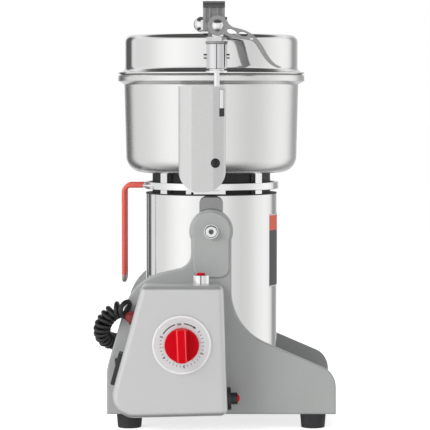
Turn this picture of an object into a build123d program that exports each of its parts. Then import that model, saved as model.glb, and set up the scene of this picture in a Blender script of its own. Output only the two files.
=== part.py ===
from build123d import *
from math import cos, hypot, pi, radians, sin, tan
import os

# Electric grain mill with a tilting bowl. Millimetres, +Z up.
# The bowl tips towards +X, the control box is on the -Y side.
# Every piece is drawn round the motor axis (X = 0, Y = 0) with the table at Z = 0. The parts are
# written with the origin on the table, under the middle of the whole mill.

# Fits and clearances
RUN_FIT = 0.06  # radial, between a pin or shaft and its bore
SEAT_GAP = 0.25  # between fixed pieces whose curved faces seat on each other
MOVE_GAP = 0.5  # between pieces that move past each other
HOLE_PLAY = 0.2  # radial, round a screw or stem that passes through
PAST = 1  # cuts run past a face by this much

# Stand
FOOT_HEIGHT = 17.5
FOOT_TOP_RADIUS = 15.5
FOOT_BOTTOM_RADIUS = 14
FOOT_SETBACK = 26.5  # from the ends of the plates
FOOT_SCREW_RADIUS = 2.5
FOOT_RECESS_RADIUS = 6
FOOT_RECESS_DEPTH = 12
FOOT_EDGE = 1.2
FOOT_INSIDE_PLATE = 8  # from the plate's inner face to the foot's middle
FOOT_HEAD_RADIUS = 5
FOOT_HEAD_HEIGHT = 3
FOOT_NUT_WIDTH = 8
FOOT_NUT_HEIGHT = 4
FOOT_SCREW_SPARE = 2  # above its nut
BASE_REAR_X = -124
BASE_FRONT_X = 148
HEEL_Z = 72  # where the rear edge of a plate starts to lean forwards
SHOULDER_X = -93
SHOULDER_Z = 178
ARM_HALF = 24
ARM_HEAD_RADIUS = 26
ARM_BOSS_PROUD = 2.5
BOSS_ABOVE_BOX = 5  # from the control box's top up to the boss
BOSS_CORNER = 12
ARM_FOOT_Z = 194  # the shoulder meets the arm here
INSTEP_Z = 120  # the front slope meets the arm here
TOE_Z = 66.5  # the front slope ends here
PLATE_THICKNESS = 10
PLATE_EDGE = 2.5
SHEET = 3
PAN_INSET = 4
PAN_SIDE_HEIGHT = 20
PAN_FRONT_HEIGHT = 25
PAN_REAR_HEIGHT = 42
PAN_GLAND_Y = -30
WIRE_HOLE_RADIUS = 7
WIRE_HOLE_DROP = 40  # below the dial's middle

# Motor and pivot
PIVOT_Z = 235
MOTOR_RADIUS = 80
MOTOR_BELOW_PIVOT = 155
MOTOR_ABOVE_PIVOT = 41
TUBE_WALL = 1.5
TRUNNION_REACH = 10  # from the motor tube to the inner face of a plate
TRUNNION_HALF = 14
TRUNNION_DOWN = 28
TRUNNION_UP = 41
PIVOT_BOLT_RADIUS = 5
BUSH_RADIUS = 7
BUSH_FLANGE_RADIUS = 10
BUSH_FLANGE = 1.5
WASHER_RADIUS = 8.5
WASHER_THICKNESS = 2
BOLT_HEAD_RADIUS = 6.7
BOLT_HEAD_HEIGHT = 6
SOCKET_RADIUS = 3.5
SOCKET_DEPTH = 3.5
BOLT_END_GAP = 1.5  # from the bolt's end to the motor tube
TRUNNION_CORNER = 8
TRUNNION_EDGE = 1.5

# Inside the motor
SHAFT_RADIUS = 6
BEARING_RADIUS = 16
BEARING_WIDTH = 10
STATOR_UP = 50  # above the motor's lower end
STATOR_HEIGHT = 66
STATOR_YOKE = 15
ARMATURE_RADIUS = 39
AIR_GAP = 0.8
COMMUTATOR_RADIUS = 16
COMMUTATOR_DOWN = 28  # below the motor's upper end
COMMUTATOR_HEIGHT = 24
FAN_UP = 23
FAN_HEIGHT = 14
FAN_GAP = 17  # from the fan to the motor tube
CAP_FLANGE = 1.5
CAP_PLATE = 6
BEARING_SEAT = 4  # wall round a bearing
AIR_SLOTS = 10
AIR_SLOT_WIDTH = 6
AIR_SLOT_START = 28
AIR_SLOT_END = 11  # from the slot to the edge of the cap
SKIRT_WALL = 6
SKIRT_BELOW = 6  # below the commutator
BEARING_TOP_DROP = 4  # below the bowl
SHAFT_HOLE_PLAY = 2
BRUSH_WIDTH = 8
BRUSH_HEIGHT = 12

# Vent ring between motor and bowl
VENT_HEIGHT = 24.5
RING_PROUD = 2  # beyond the motor tube
RING_WALL = 4
RING_GAP = 4.5  # from the motor cap up to the ring
RING_HEIGHT = 8.6
COLUMN_WIDTH = 11
NECK_INSET = 8  # inside the motor tube
NECK_WALL = 5

# Grinding bowl
BOWL_OVERHANG = 26  # beyond the motor tube
BOWL_TAPER = 2.5
BOWL_WALL = 2
BOWL_FLOOR = 4
BOWL_CORNER = 20
BOWL_HEIGHT = 119
RIM_WIDTH = 7.5
RIM_HEIGHT = 12
RIM_EDGE = 3
SHAFT_SEAL_RADIUS = 11

# Blades
LOWER_BLADE_GAP = 11.5  # from the blade's tip to the bowl's wall
UPPER_BLADE_GAP = 17.5
BLADE_WIDTH = 26
BLADE_THICKNESS = 4
SPACER_RADIUS = 12
LOWER_SPACER = 8
UPPER_SPACER = 18
BLADE_NUT_HEIGHT = 12
BLADE_NUT_WIDTH = 19
BLADE_NUT_HEX = 7  # height of its hexagon
BLADE_NUT_DOME = 8
FLOOR_GAP = 0.5  # under the lower spacer

# Lid
LID_LIFT = 0.6  # the gasket holds the lid this far above the bowl's rim
LID_HEIGHT = 46.9
LID_INSET = 0.7  # inside the bowl's top radius
LID_WALL = 2.5
LID_FLANGE = 2
LID_CORNER = 8
LID_FLARE = 7
GASKET_WIDTH = 4
GASKET_HEIGHT = 1.7
GASKET_SHIFT = 1.3  # inwards from the middle of the rim's overhang

# Lock on the bowl's side
LOCK_X = 6.4
ROD_RADIUS = 3.5
ROD_TRAVEL = 18
ROD_END = 43  # above the housing's lower end
SLEEVE_RADIUS = 12.2
SLEEVE_GAP = 1.3  # from the sleeve to the bowl's rim
COLLAR_RADIUS = 13
COLLAR_HEIGHT = 2.5
SLEEVE_LIFT = 3.5  # above the bowl's rim
SLEEVE_HEIGHT = 31
SLEEVE_NECK = 2
ARM_RING = 3
NUT_HEIGHT = 5
NUT_WIDTH = 20
HOUSING_LEFT = -38
HOUSING_RIGHT = 17
HOUSING_DEPTH = 15  # in front of the rod
HOUSING_WALL = 3
HOUSING_TOP_DROP = 15  # below the bowl's rim
HOUSING_HEIGHT = 123
HOUSING_CHIN = 25
SLOT_WIDTH = 6
SLOT_TOP_DROP = 3
SLIDER_HEIGHT = 9
SLIDER_SPARE = 5  # slot left over past the slider's travel
SLIDER_RADIUS = 6
SPRING_LENGTH = 25
SPRING_RADIUS = 5.1
SPRING_WIRE = 0.6
SPRING_TURNS = 7
FACET_WIDTH = 14.5
FACET_DEPTH = 9
SWITCH_WIDTH = 12
SWITCH_HEIGHT = 22
SWITCH_DEPTH = 11
HOUSING_SCREW_X = 5
HOUSING_SCREW_UP = 34
HOUSING_SCREW_RADIUS = 5.5

# Lever, lid arm and lid pin
HUB_X = 7.6
HUB_RADIUS = 11.7
HUB_ABOVE_NUT = 13
LEVER_WIDTH = 22
ROD_HEAD_WIDTH = 11
LATCH_PIN_RADIUS = 3
LATCH_CAP_RADIUS = 7
LID_ARM_MIDDLE_X = 3.3
LID_ARM_HALF = 12.75
ARM_STEM_HALF = 10  # of the arm's stem between the lock rod's ring and the lid's top
LID_ARM_TOP = 37.5  # above the lid
LID_ARM_FRONT = 15.4  # from the rod's centre line to the arm's front face
LID_PIN_BEHIND = 50  # from the rod's centre line to the lid pin
LID_PIN_UP = 11
LID_PIN_RADIUS = 4
LID_PIN_CAP_RADIUS = 9.6
LID_PIN_CAP_HEIGHT = 8.6
LID_PIN_RIVET_RADIUS = 5.4
LID_PIN_RIVET_HEIGHT = 2
EAR_THICKNESS = 2.5
EAR_HEIGHT = 20

# Handle behind the motor
HANDLE_ROD_RADIUS = 2.3
HANDLE_SLEEVE_RADIUS = 2.8
HANDLE_BEHIND = 26  # from the motor tube to the bar
HANDLE_HALF = 25
HANDLE_DROP = 64  # below the pivot
HANDLE_BEND = 8

# Label on the motor tube
LABEL_DOWN = 24  # below the motor's upper end
LABEL_HEIGHT = 88
LABEL_HALF_ANGLE = 28
LABEL_THICKNESS = 0.4

# Control box
BOX_DEPTH = 55
BOX_WALL = 2
BOX_TOP_Z = 175
BOX_BOTTOM_Z = 19.5
BOX_TOE_RISE = 3.5  # from the rear bottom corner up to the front one
BOX_REAR_TOP_X = -81
BOX_REAR_BOTTOM_X = -123.5
BOX_FRONT_TOP_X = 14.2
BOX_FRONT_BOTTOM_X = 19.5
BOX_HEEL_RADIUS = 26
BOX_CORNER = 8.5
BOX_EDGE = 7
BOX_POST_RADIUS = 4
BOX_SCREW_RADIUS = 1.8
BOX_POSTS = ((-66, 157), (4, 157), (-16, 48), (-84, 48))

# Timer
DIAL_X = -34
DIAL_Z = 106.5
DIAL_RADIUS = 34.5
DIAL_THICKNESS = 3
TIMER_RADIUS = 24
TIMER_DEPTH = 30
TIMER_NECK_RADIUS = 5
SPINDLE_RADIUS = 3
KNOB_RADIUS = 20
KNOB_BASE = 6
KNOB_GRIP = 13
KNOB_GRIP_WIDTH = 13

# Push button on the box's top
BUTTON_X = -12
BUTTON_BEHIND = 28  # from the box's front face
BUTTON_COLLAR_RADIUS = 10
BUTTON_COLLAR_HEIGHT = 10.7
BUTTON_CAP_RADIUS = 5
BUTTON_CAP_PROUD = 2.4
BUTTON_BODY_RADIUS = 6.5
BUTTON_BODY_DEPTH = 20
BUTTON_TRAVEL = 2

# Resettable breaker on the box's front wall
BREAKER_Z = 40
BREAKER_BEHIND = 28
BREAKER_FLANGE_RADIUS = 13.5
BREAKER_FLANGE = 4.5
BREAKER_BOSS_RADIUS = 7
BREAKER_BOSS = 7.5
BREAKER_BODY_RADIUS = 8
BREAKER_BODY_DEPTH = 22
RESET_RADIUS = 5.3
RESET_PROUD = 2.8
RESET_TRAVEL = 2

# Rocker switch on the box's sloping rear wall
ROCKER_Z = 75.5
ROCKER_BEHIND = 27
ROCKER_BEZEL = (26, 38, 5)
ROCKER_BODY = (21, 30, 20)
ROCKER_HALF_LENGTH = 11.5
ROCKER_HALF_WIDTH = 7.5
ROCKER_PROUD = 6
ROCKER_DIP = 3.6  # height at the rocker's middle
ROCKER_TILT = 8
ROCKER_POCKET = 7  # below the bezel's top

# Cord glands and curly lead
GLAND_Z = 134
GLAND_BEHIND = 39
GLAND_FLANGE_RADIUS = 8.5
GLAND_FLANGE = 2.5
GLAND_NOSE = 4.5
GLAND_TIP_RADIUS = 5
CORD_RADIUS = 2.9
MOTOR_GLAND_ANGLE = 212
MOTOR_GLAND_UP = 18
CURL_RADIUS = 10.4
BOX_END_STRAIGHT = 11
MOTOR_END_STRAIGHT = 15
MAINS_CORD_RADIUS = 3.6
MAINS_GLAND_RADIUS = 7
MAINS_GLAND_Z = 46

# Places that follow from the sizes above
FOOT_SPOTS_X = (BASE_REAR_X + FOOT_SETBACK, BASE_FRONT_X - FOOT_SETBACK)
PLATE_INNER_Y = MOTOR_RADIUS + TRUNNION_REACH
PLATE_OUTER_Y = PLATE_INNER_Y + PLATE_THICKNESS
FOOT_Y = PLATE_INNER_Y - FOOT_INSIDE_PLATE
MOTOR_LOW = PIVOT_Z - MOTOR_BELOW_PIVOT
MOTOR_HIGH = PIVOT_Z + MOTOR_ABOVE_PIVOT
CAP_TOP = MOTOR_HIGH + CAP_FLANGE
STATOR_LOW = MOTOR_LOW + STATOR_UP
STATOR_HIGH = STATOR_LOW + STATOR_HEIGHT
COMMUTATOR_HIGH = MOTOR_HIGH - COMMUTATOR_DOWN
COMMUTATOR_LOW = COMMUTATOR_HIGH - COMMUTATOR_HEIGHT
FAN_LOW = MOTOR_LOW + FAN_UP
MOTOR_GLAND_Z = MOTOR_LOW + MOTOR_GLAND_UP
LABEL_HIGH = MOTOR_HIGH - LABEL_DOWN
LABEL_LOW = LABEL_HIGH - LABEL_HEIGHT
HANDLE_X = -(MOTOR_RADIUS + HANDLE_BEHIND)
HANDLE_LOW_Z = PIVOT_Z - HANDLE_DROP
RING_RADIUS = MOTOR_RADIUS + RING_PROUD
NECK_RADIUS = MOTOR_RADIUS - NECK_INSET
BOWL_LOW = CAP_TOP + VENT_HEIGHT
TOP_BEARING_LOW = BOWL_LOW - BEARING_TOP_DROP - BEARING_WIDTH
BOWL_HIGH = BOWL_LOW + BOWL_HEIGHT
LID_LOW = BOWL_HIGH + LID_LIFT
LID_HIGH = LID_LOW + LID_HEIGHT
TUBE_INNER = MOTOR_RADIUS - TUBE_WALL
STATOR_RADIUS = TUBE_INNER - SEAT_GAP
FAN_RADIUS = TUBE_INNER - FAN_GAP
BOWL_TOP_RADIUS = MOTOR_RADIUS + BOWL_OVERHANG
BOWL_BOTTOM_RADIUS = BOWL_TOP_RADIUS - BOWL_TAPER
BOWL_INNER = BOWL_BOTTOM_RADIUS - BOWL_WALL
RIM_RADIUS = BOWL_TOP_RADIUS + RIM_WIDTH
LID_RADIUS = BOWL_TOP_RADIUS - LID_INSET
LOCK_Y = -(RIM_RADIUS + SLEEVE_GAP + SLEEVE_RADIUS)
SLEEVE_LOW = BOWL_HIGH + SLEEVE_LIFT
SLEEVE_HIGH = SLEEVE_LOW + SLEEVE_HEIGHT
NUT_LOW = SLEEVE_HIGH + ARM_RING
NUT_HIGH = NUT_LOW + NUT_HEIGHT
HUB_Z = NUT_HIGH + HUB_ABOVE_NUT
HOUSING_HIGH = BOWL_HIGH - HOUSING_TOP_DROP
HOUSING_LOW = HOUSING_HIGH - HOUSING_HEIGHT
HOUSING_FRONT_Y = LOCK_Y - HOUSING_DEPTH
HOUSING_BACK_Y = -(BOWL_TOP_RADIUS + SEAT_GAP)
SLOT_HIGH = HOUSING_HIGH - SLOT_TOP_DROP
SLOT_LENGTH = SLIDER_HEIGHT + ROD_TRAVEL + SLIDER_SPARE
SLIDER_LOW = SLOT_HIGH - SLOT_LENGTH + MOVE_GAP
SPRING_LOW = SLIDER_LOW - SPRING_LENGTH
BOX_FACE_Y = -(PLATE_OUTER_Y + BOX_DEPTH)
DIAL_FACE_Y = BOX_FACE_Y - DIAL_THICKNESS
KNOB_BACK_Y = DIAL_FACE_Y - MOVE_GAP
KNOB_FRONT_Y = KNOB_BACK_Y - KNOB_BASE - KNOB_GRIP
FIRST_SPACER_LOW = BOWL_LOW + BOWL_FLOOR + FLOOR_GAP
BLADE_NUT_LOW = FIRST_SPACER_LOW + LOWER_SPACER + UPPER_SPACER + 2 * BLADE_THICKNESS

# The middle of the mill's outline on the table, seen from above
MIDDLE_X = (BASE_REAR_X + BASE_FRONT_X) / 2
MIDDLE_Y = (KNOB_FRONT_Y + RIM_RADIUS) / 2


# Plain shapes


def disc(low, high, radius, x=0, y=0):
    """An upright cylinder."""
    return Pos(x, y, (low + high) / 2) * Cylinder(radius, high - low)


def ring(low, high, inner, outer, x=0, y=0):
    """An upright tube."""
    return disc(low, high, outer, x, y) - disc(low, high, inner, x, y)


def peg_y(x, z, near, far, radius):
    """A cylinder along Y."""
    return Pos(x, (near + far) / 2, z) * Rot(90, 0, 0) * Cylinder(radius, far - near)


def peg_x(y, z, left, right, radius):
    """A cylinder along X."""
    return Pos((left + right) / 2, y, z) * Rot(0, 90, 0) * Cylinder(radius, right - left)


def block(left, right, near, far, low, high):
    """A box from its six faces."""
    middle = Pos((left + right) / 2, (near + far) / 2, (low + high) / 2)
    return middle * Box(right - left, far - near, high - low)


def slab(outline, near, thickness):
    """A side-view outline (X, Z) with its near face at Y = near."""
    return extrude(Plane.XZ.offset(-near) * outline, -thickness)


def rounded(outline, corner, radius):
    """A flat outline with the corner nearest to a point rounded."""
    nearest = outline.vertices().sort_by_distance((*corner, 0))[0]
    return fillet(nearest, radius)


def both_sides(piece):
    """A piece and its mirror image at the other side plate."""
    return [piece, mirror(piece, Plane.XZ)]


def hex_prism(low, high, flats, x=0, y=0):
    """An upright hexagon, its size across the flats."""
    outline = RegularPolygon(flats / 2, 6, major_radius=False)
    return Pos(x, y, low) * extrude(outline, high - low)


# Stand


def plate_outline():
    """Side view of a stand plate: long foot, rear shoulder and a slender arm up to the pivot."""
    corners = [
        (BASE_REAR_X, FOOT_HEIGHT),
        (BASE_REAR_X, HEEL_Z),
        (SHOULDER_X, SHOULDER_Z),
        (-ARM_HALF, ARM_FOOT_Z),
        (-ARM_HALF, PIVOT_Z),
        (ARM_HALF, PIVOT_Z),
        (ARM_HALF, INSTEP_Z),
        (BASE_FRONT_X, TOE_Z),
        (BASE_FRONT_X, FOOT_HEIGHT),
    ]
    radii = [0, 60, 60, 18, 0, 0, 68, 25, 0]
    foot = make_face(FilletPolyline(*corners, radius=radii, close=True))
    return foot + Pos(0, PIVOT_Z) * Circle(ARM_HEAD_RADIUS)


def arm_boss(near, thickness):
    """The raised pad round the pivot and the rib below it."""
    head = Pos(0, PIVOT_Z) * Circle(ARM_HEAD_RADIUS - PLATE_EDGE)
    neck_half = ARM_HALF - PLATE_EDGE
    neck_low = BOX_TOP_Z + BOSS_ABOVE_BOX
    neck = Pos(0, (PIVOT_Z + neck_low) / 2) * Rectangle(2 * neck_half, PIVOT_Z - neck_low)
    neck = fillet(neck.vertices().sort_by(Axis.Y)[:2], BOSS_CORNER)
    return slab(head + neck, near, thickness)


def side_plate():
    """The near plate, its outer face at -PLATE_OUTER_Y. The far one is its mirror image."""
    plate = slab(plate_outline(), -PLATE_OUTER_Y, PLATE_THICKNESS)
    plate = fillet(plate.faces().sort_by(Axis.Y)[0].edges(), PLATE_EDGE)
    boss = arm_boss(-PLATE_OUTER_Y - ARM_BOSS_PROUD, ARM_BOSS_PROUD + 1)
    boss = fillet(boss.faces().sort_by(Axis.Y)[0].edges(), ARM_BOSS_PROUD - 0.5)
    plate += boss
    bore = peg_y(0, PIVOT_Z, -PLATE_OUTER_Y - ARM_BOSS_PROUD - 1, -PLATE_INNER_Y + 1, BUSH_RADIUS)
    return plate - bore


def near_side_plate():
    """Stand plate on the control box's side, with the box's screw holes and a wire hole."""
    plate = side_plate()
    hole = BOX_SCREW_RADIUS + 2 * HOLE_PLAY
    for x, z in BOX_POSTS:
        plate -= peg_y(x, z, -PLATE_OUTER_Y - PAST, -PLATE_INNER_Y + PAST, hole)
    wire_z = DIAL_Z - WIRE_HOLE_DROP
    return plate - peg_y(DIAL_X, wire_z, -PLATE_OUTER_Y - PAST, -PLATE_INNER_Y + PAST, WIRE_HOLE_RADIUS)


def base_pan():
    """Folded tray that joins the two plates and carries the feet."""
    rear = BASE_REAR_X + PAN_INSET
    front = BASE_FRONT_X - PAN_INSET
    side = PLATE_INNER_Y
    floor = block(rear, front, -side, side, FOOT_HEIGHT, FOOT_HEIGHT + SHEET)
    pan = floor
    pan += block(rear, rear + SHEET, -side, side, FOOT_HEIGHT, FOOT_HEIGHT + PAN_REAR_HEIGHT)
    pan += block(front - SHEET, front, -side, side, FOOT_HEIGHT, FOOT_HEIGHT + PAN_FRONT_HEIGHT)
    for near in (-side, side - SHEET):
        pan += block(rear, front, near, near + SHEET, FOOT_HEIGHT, FOOT_HEIGHT + PAN_SIDE_HEIGHT)
    for x in FOOT_SPOTS_X:
        for y in (-FOOT_Y, FOOT_Y):
            pan -= disc(0, PIVOT_Z, FOOT_SCREW_RADIUS + HOLE_PLAY, x, y)
    return pan - peg_x(PAN_GLAND_Y, MAINS_GLAND_Z, rear - 5, rear + 10, MAINS_GLAND_RADIUS)


def foot(x, y):
    """Tapered rubber foot with a recess for its screw."""
    body = Pos(x, y, FOOT_HEIGHT / 2) * Cone(FOOT_BOTTOM_RADIUS, FOOT_TOP_RADIUS, FOOT_HEIGHT)
    body = fillet(body.edges().sort_by(Axis.Z)[0], FOOT_EDGE)
    body -= disc(-1, FOOT_RECESS_DEPTH, FOOT_RECESS_RADIUS, x, y)
    return body - disc(-1, FOOT_HEIGHT + 1, FOOT_SCREW_RADIUS + HOLE_PLAY, x, y)


def foot_screw(x, y):
    """Screw up through the foot and the pan, with its nut."""
    head_low = FOOT_RECESS_DEPTH - FOOT_HEAD_HEIGHT
    head = disc(head_low, FOOT_RECESS_DEPTH, FOOT_HEAD_RADIUS, x, y)
    pan_top = FOOT_HEIGHT + SHEET
    nut_top = pan_top + FOOT_NUT_HEIGHT
    shank = disc(FOOT_RECESS_DEPTH, nut_top + FOOT_SCREW_SPARE, FOOT_SCREW_RADIUS, x, y)
    nut = hex_prism(pan_top, nut_top, FOOT_NUT_WIDTH, x, y)
    return head + shank + nut


def foot_places():
    return [(x, y) for x in FOOT_SPOTS_X for y in (-FOOT_Y, FOOT_Y)]


# Pivot


def pivot_bush():
    """Flanged bush in the near plate, flange towards the motor."""
    outer = -PLATE_OUTER_Y - ARM_BOSS_PROUD
    bush = peg_y(0, PIVOT_Z, outer, -PLATE_INNER_Y, BUSH_RADIUS)
    bush += peg_y(0, PIVOT_Z, -PLATE_INNER_Y, -PLATE_INNER_Y + BUSH_FLANGE, BUSH_FLANGE_RADIUS)
    return bush - peg_y(0, PIVOT_Z, outer - 1, 0, PIVOT_BOLT_RADIUS + RUN_FIT)


def pivot_bolt():
    """Hex-socket shoulder bolt through the plate into the trunnion block."""
    seat = -PLATE_OUTER_Y - ARM_BOSS_PROUD - MOVE_GAP / 2 - WASHER_THICKNESS
    head = peg_y(0, PIVOT_Z, seat - BOLT_HEAD_HEIGHT, seat, BOLT_HEAD_RADIUS)
    head = fillet(head.edges().sort_by(Axis.Y)[0], 0.8)
    outline = Pos(0, PIVOT_Z) * RegularPolygon(SOCKET_RADIUS, 6)
    socket = extrude(Plane.XZ.offset(-seat + BOLT_HEAD_HEIGHT) * outline, -SOCKET_DEPTH)
    end = -MOTOR_RADIUS - BOLT_END_GAP
    return head - socket + peg_y(0, PIVOT_Z, seat, end, PIVOT_BOLT_RADIUS)


def pivot_washer():
    seat = -PLATE_OUTER_Y - ARM_BOSS_PROUD - MOVE_GAP / 2
    washer = peg_y(0, PIVOT_Z, seat - WASHER_THICKNESS, seat, WASHER_RADIUS)
    return washer - peg_y(0, PIVOT_Z, seat - WASHER_THICKNESS - PAST, seat + PAST, PIVOT_BOLT_RADIUS)


def trunnion_block():
    """Block on the motor tube that the pivot bolt screws into."""
    face = -PLATE_INNER_Y + BUSH_FLANGE + MOVE_GAP / 2
    low, high = PIVOT_Z - TRUNNION_DOWN, PIVOT_Z + TRUNNION_UP
    body = block(-TRUNNION_HALF, TRUNNION_HALF, face, -MOTOR_RADIUS * 0.9, low, high)
    body = fillet(body.edges().filter_by(Axis.Y), TRUNNION_CORNER)
    body = chamfer(body.faces().sort_by(Axis.Y)[0].edges(), TRUNNION_EDGE)
    body -= disc(low - PAST, high + PAST, MOTOR_RADIUS + SEAT_GAP)
    return body - peg_y(0, PIVOT_Z, face - 1, -MOTOR_RADIUS, PIVOT_BOLT_RADIUS)


# Motor


def gland_plane_motor():
    """Frame of the motor's cord gland: Z outwards from the tube."""
    a = radians(MOTOR_GLAND_ANGLE)
    out = (cos(a), sin(a), 0)
    return Plane((MOTOR_RADIUS * cos(a), MOTOR_RADIUS * sin(a), MOTOR_GLAND_Z), x_dir=(0, 0, 1), z_dir=out)


def motor_tube():
    tube = ring(MOTOR_LOW, MOTOR_HIGH, TUBE_INNER, MOTOR_RADIUS)
    return tube - gland_plane_motor() * Cylinder(GLAND_TIP_RADIUS + 0.3, 20)


def motor_bottom_cap():
    """Closes the tube, carries the lower bearing and lets air in through slots."""
    cap = disc(MOTOR_LOW - CAP_FLANGE, MOTOR_LOW, MOTOR_RADIUS)
    cap += disc(MOTOR_LOW, MOTOR_LOW + CAP_PLATE, TUBE_INNER - SEAT_GAP)
    cap += disc(MOTOR_LOW, MOTOR_LOW + CAP_PLATE + BEARING_WIDTH, BEARING_RADIUS + BEARING_SEAT)
    bearing_low = MOTOR_LOW + CAP_PLATE
    cap -= disc(bearing_low, bearing_low + BEARING_WIDTH + 1, BEARING_RADIUS)
    half = AIR_SLOT_WIDTH / 2
    low, high = MOTOR_LOW - CAP_FLANGE - PAST, MOTOR_LOW + CAP_PLATE + PAST
    slot = block(AIR_SLOT_START, MOTOR_RADIUS - AIR_SLOT_END, -half, half, low, high)
    for turn in range(AIR_SLOTS):
        cap -= Rot(0, 0, turn * 360 / AIR_SLOTS) * slot
    return cap


def motor_top_cap():
    """Black casting: plate over the tube, brush skirt below, neck and upper bearing above."""
    cap = disc(MOTOR_HIGH, CAP_TOP, MOTOR_RADIUS)
    cap += disc(MOTOR_HIGH - CAP_PLATE, MOTOR_HIGH, TUBE_INNER - SEAT_GAP)
    skirt_low = COMMUTATOR_LOW - SKIRT_BELOW
    skirt_radius = TUBE_INNER - SEAT_GAP
    cap += ring(skirt_low, MOTOR_HIGH, skirt_radius - SKIRT_WALL, skirt_radius)
    cap += disc(CAP_TOP, BOWL_LOW, NECK_RADIUS)
    cap -= disc(CAP_TOP, BOWL_LOW + 1, NECK_RADIUS - NECK_WALL)
    cap += disc(CAP_TOP, TOP_BEARING_LOW + BEARING_WIDTH, BEARING_RADIUS + BEARING_SEAT + 1)
    cap -= disc(TOP_BEARING_LOW, BOWL_LOW + PAST, BEARING_RADIUS)
    return cap - disc(skirt_low, BOWL_LOW, SHAFT_RADIUS + SHAFT_HOLE_PLAY)


def vent_ring():
    """Chrome ring on four columns, with a tab, between the motor and the bowl."""
    low = CAP_TOP + RING_GAP
    band = ring(low, low + RING_HEIGHT, RING_RADIUS - RING_WALL, RING_RADIUS)
    band = fillet(band.edges().filter_by(GeomType.CIRCLE), 0.8)
    half = COLUMN_WIDTH / 2
    column = block(NECK_RADIUS + 1, RING_RADIUS - 1.5, -half, half, CAP_TOP, BOWL_LOW)
    for turn in (45, 135, 225, 315):
        band += Rot(0, 0, turn) * column
    tab = block(-30, 17, -RING_RADIUS + 0.8, -RING_RADIUS + RING_WALL - 0.4, CAP_TOP + 0.6, low + 1)
    tab -= block(-24, -21, -RING_RADIUS, 0, CAP_TOP, CAP_TOP + 3)
    for x in (-HANDLE_HALF, HANDLE_HALF):
        reach = (RING_RADIUS**2 - x**2) ** 0.5
        hole = peg_x(x, low + RING_HEIGHT / 2, -reach - 5, 0, HANDLE_ROD_RADIUS)
        band -= hole
    return band + tab


def shaft():
    """Motor shaft, from the lower bearing to the blade nut."""
    low = MOTOR_LOW + CAP_PLATE
    return disc(low, BLADE_NUT_LOW + BLADE_NUT_HEIGHT - 4, SHAFT_RADIUS)


def bearing(low):
    return ring(low, low + BEARING_WIDTH, SHAFT_RADIUS + RUN_FIT, BEARING_RADIUS)


def polar_point(radius, angle):
    return (radius * cos(radians(angle)), radius * sin(radians(angle)))


def sector(inner, outer, half_angle, low, high):
    """Part of an upright tube, spread evenly about +X."""
    ends = [polar_point(outer * 2, -half_angle), polar_point(outer * 2, half_angle)]
    wedge = make_face(Polyline((0, 0), *ends, close=True))
    return ring(low, high, inner, outer) & Pos(0, 0, low) * extrude(wedge, high - low)


def stator():
    """Laminated yoke with two poles."""
    core = ring(STATOR_LOW, STATOR_HIGH, STATOR_RADIUS - STATOR_YOKE, STATOR_RADIUS)
    pole = sector(ARMATURE_RADIUS + AIR_GAP, STATOR_RADIUS - STATOR_YOKE + 1, 34, STATOR_LOW, STATOR_HIGH)
    tip = sector(ARMATURE_RADIUS + AIR_GAP, ARMATURE_RADIUS + AIR_GAP + 5, 58, STATOR_LOW, STATOR_HIGH)
    return core + pole + tip + Rot(0, 0, 180) * (pole + tip)


def field_coil(turn):
    """Winding round one pole."""
    inner = ARMATURE_RADIUS + AIR_GAP + 5.5
    outer = STATOR_RADIUS - STATOR_YOKE - 0.5
    coil = sector(inner, outer, 52, STATOR_LOW - 8, STATOR_HIGH + 8)
    coil -= sector(inner - 1, outer + 1, 36, STATOR_LOW - 0.5, STATOR_HIGH + 0.5)
    return Rot(0, 0, turn) * coil


def armature():
    """Laminated core with winding heads."""
    core = disc(STATOR_LOW, STATOR_HIGH, ARMATURE_RADIUS)
    slot = Pos(ARMATURE_RADIUS, 0, (STATOR_LOW + STATOR_HIGH) / 2) * Box(8, 2.4, STATOR_HIGH - STATOR_LOW + 2)
    for turn in range(12):
        core -= Rot(0, 0, turn * 30) * slot
    core += disc(STATOR_LOW - 10, STATOR_LOW, ARMATURE_RADIUS - 7)
    core += disc(STATOR_HIGH, STATOR_HIGH + 12, ARMATURE_RADIUS - 9)
    return core - disc(STATOR_LOW - 20, STATOR_HIGH + 20, SHAFT_RADIUS)


def commutator():
    return ring(COMMUTATOR_LOW, COMMUTATOR_HIGH, SHAFT_RADIUS, COMMUTATOR_RADIUS)


def cooling_fan():
    """Disc with straight blades, under the armature."""
    fan = disc(FAN_LOW, FAN_LOW + FAN_HEIGHT, 13)
    fan += disc(FAN_LOW + FAN_HEIGHT - 2, FAN_LOW + FAN_HEIGHT, FAN_RADIUS)
    blade = block(12, FAN_RADIUS - 1, -1, 1, FAN_LOW, FAN_LOW + FAN_HEIGHT - 1)
    for turn in range(8):
        fan += Rot(0, 0, turn * 45) * blade
    return fan - disc(FAN_LOW - 1, FAN_LOW + FAN_HEIGHT + 1, SHAFT_RADIUS)


def bar_along_x(left, right, half_width, half_height):
    """A bar at the commutator's mid height."""
    middle = (COMMUTATOR_LOW + COMMUTATOR_HIGH) / 2
    return block(left, right, -half_width, half_width, middle - half_height, middle + half_height)


def brush_holder(turn):
    """Brass guide from the cap's skirt to just short of the commutator."""
    outer = TUBE_INNER - SEAT_GAP - SKIRT_WALL - 0.3
    half_w, half_h = BRUSH_WIDTH / 2, BRUSH_HEIGHT / 2
    guide = bar_along_x(COMMUTATOR_RADIUS + 3, outer, half_w + 2, half_h + 2)
    guide -= bar_along_x(COMMUTATOR_RADIUS + 2, outer - 4, half_w + 0.1, half_h + 0.1)
    return Rot(0, 0, turn) * guide


def carbon_brush(turn):
    half_w, half_h = BRUSH_WIDTH / 2, BRUSH_HEIGHT / 2
    brush = bar_along_x(COMMUTATOR_RADIUS + 0.2, COMMUTATOR_RADIUS + 26, half_w, half_h)
    return Rot(0, 0, turn) * brush


# Handle


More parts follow.
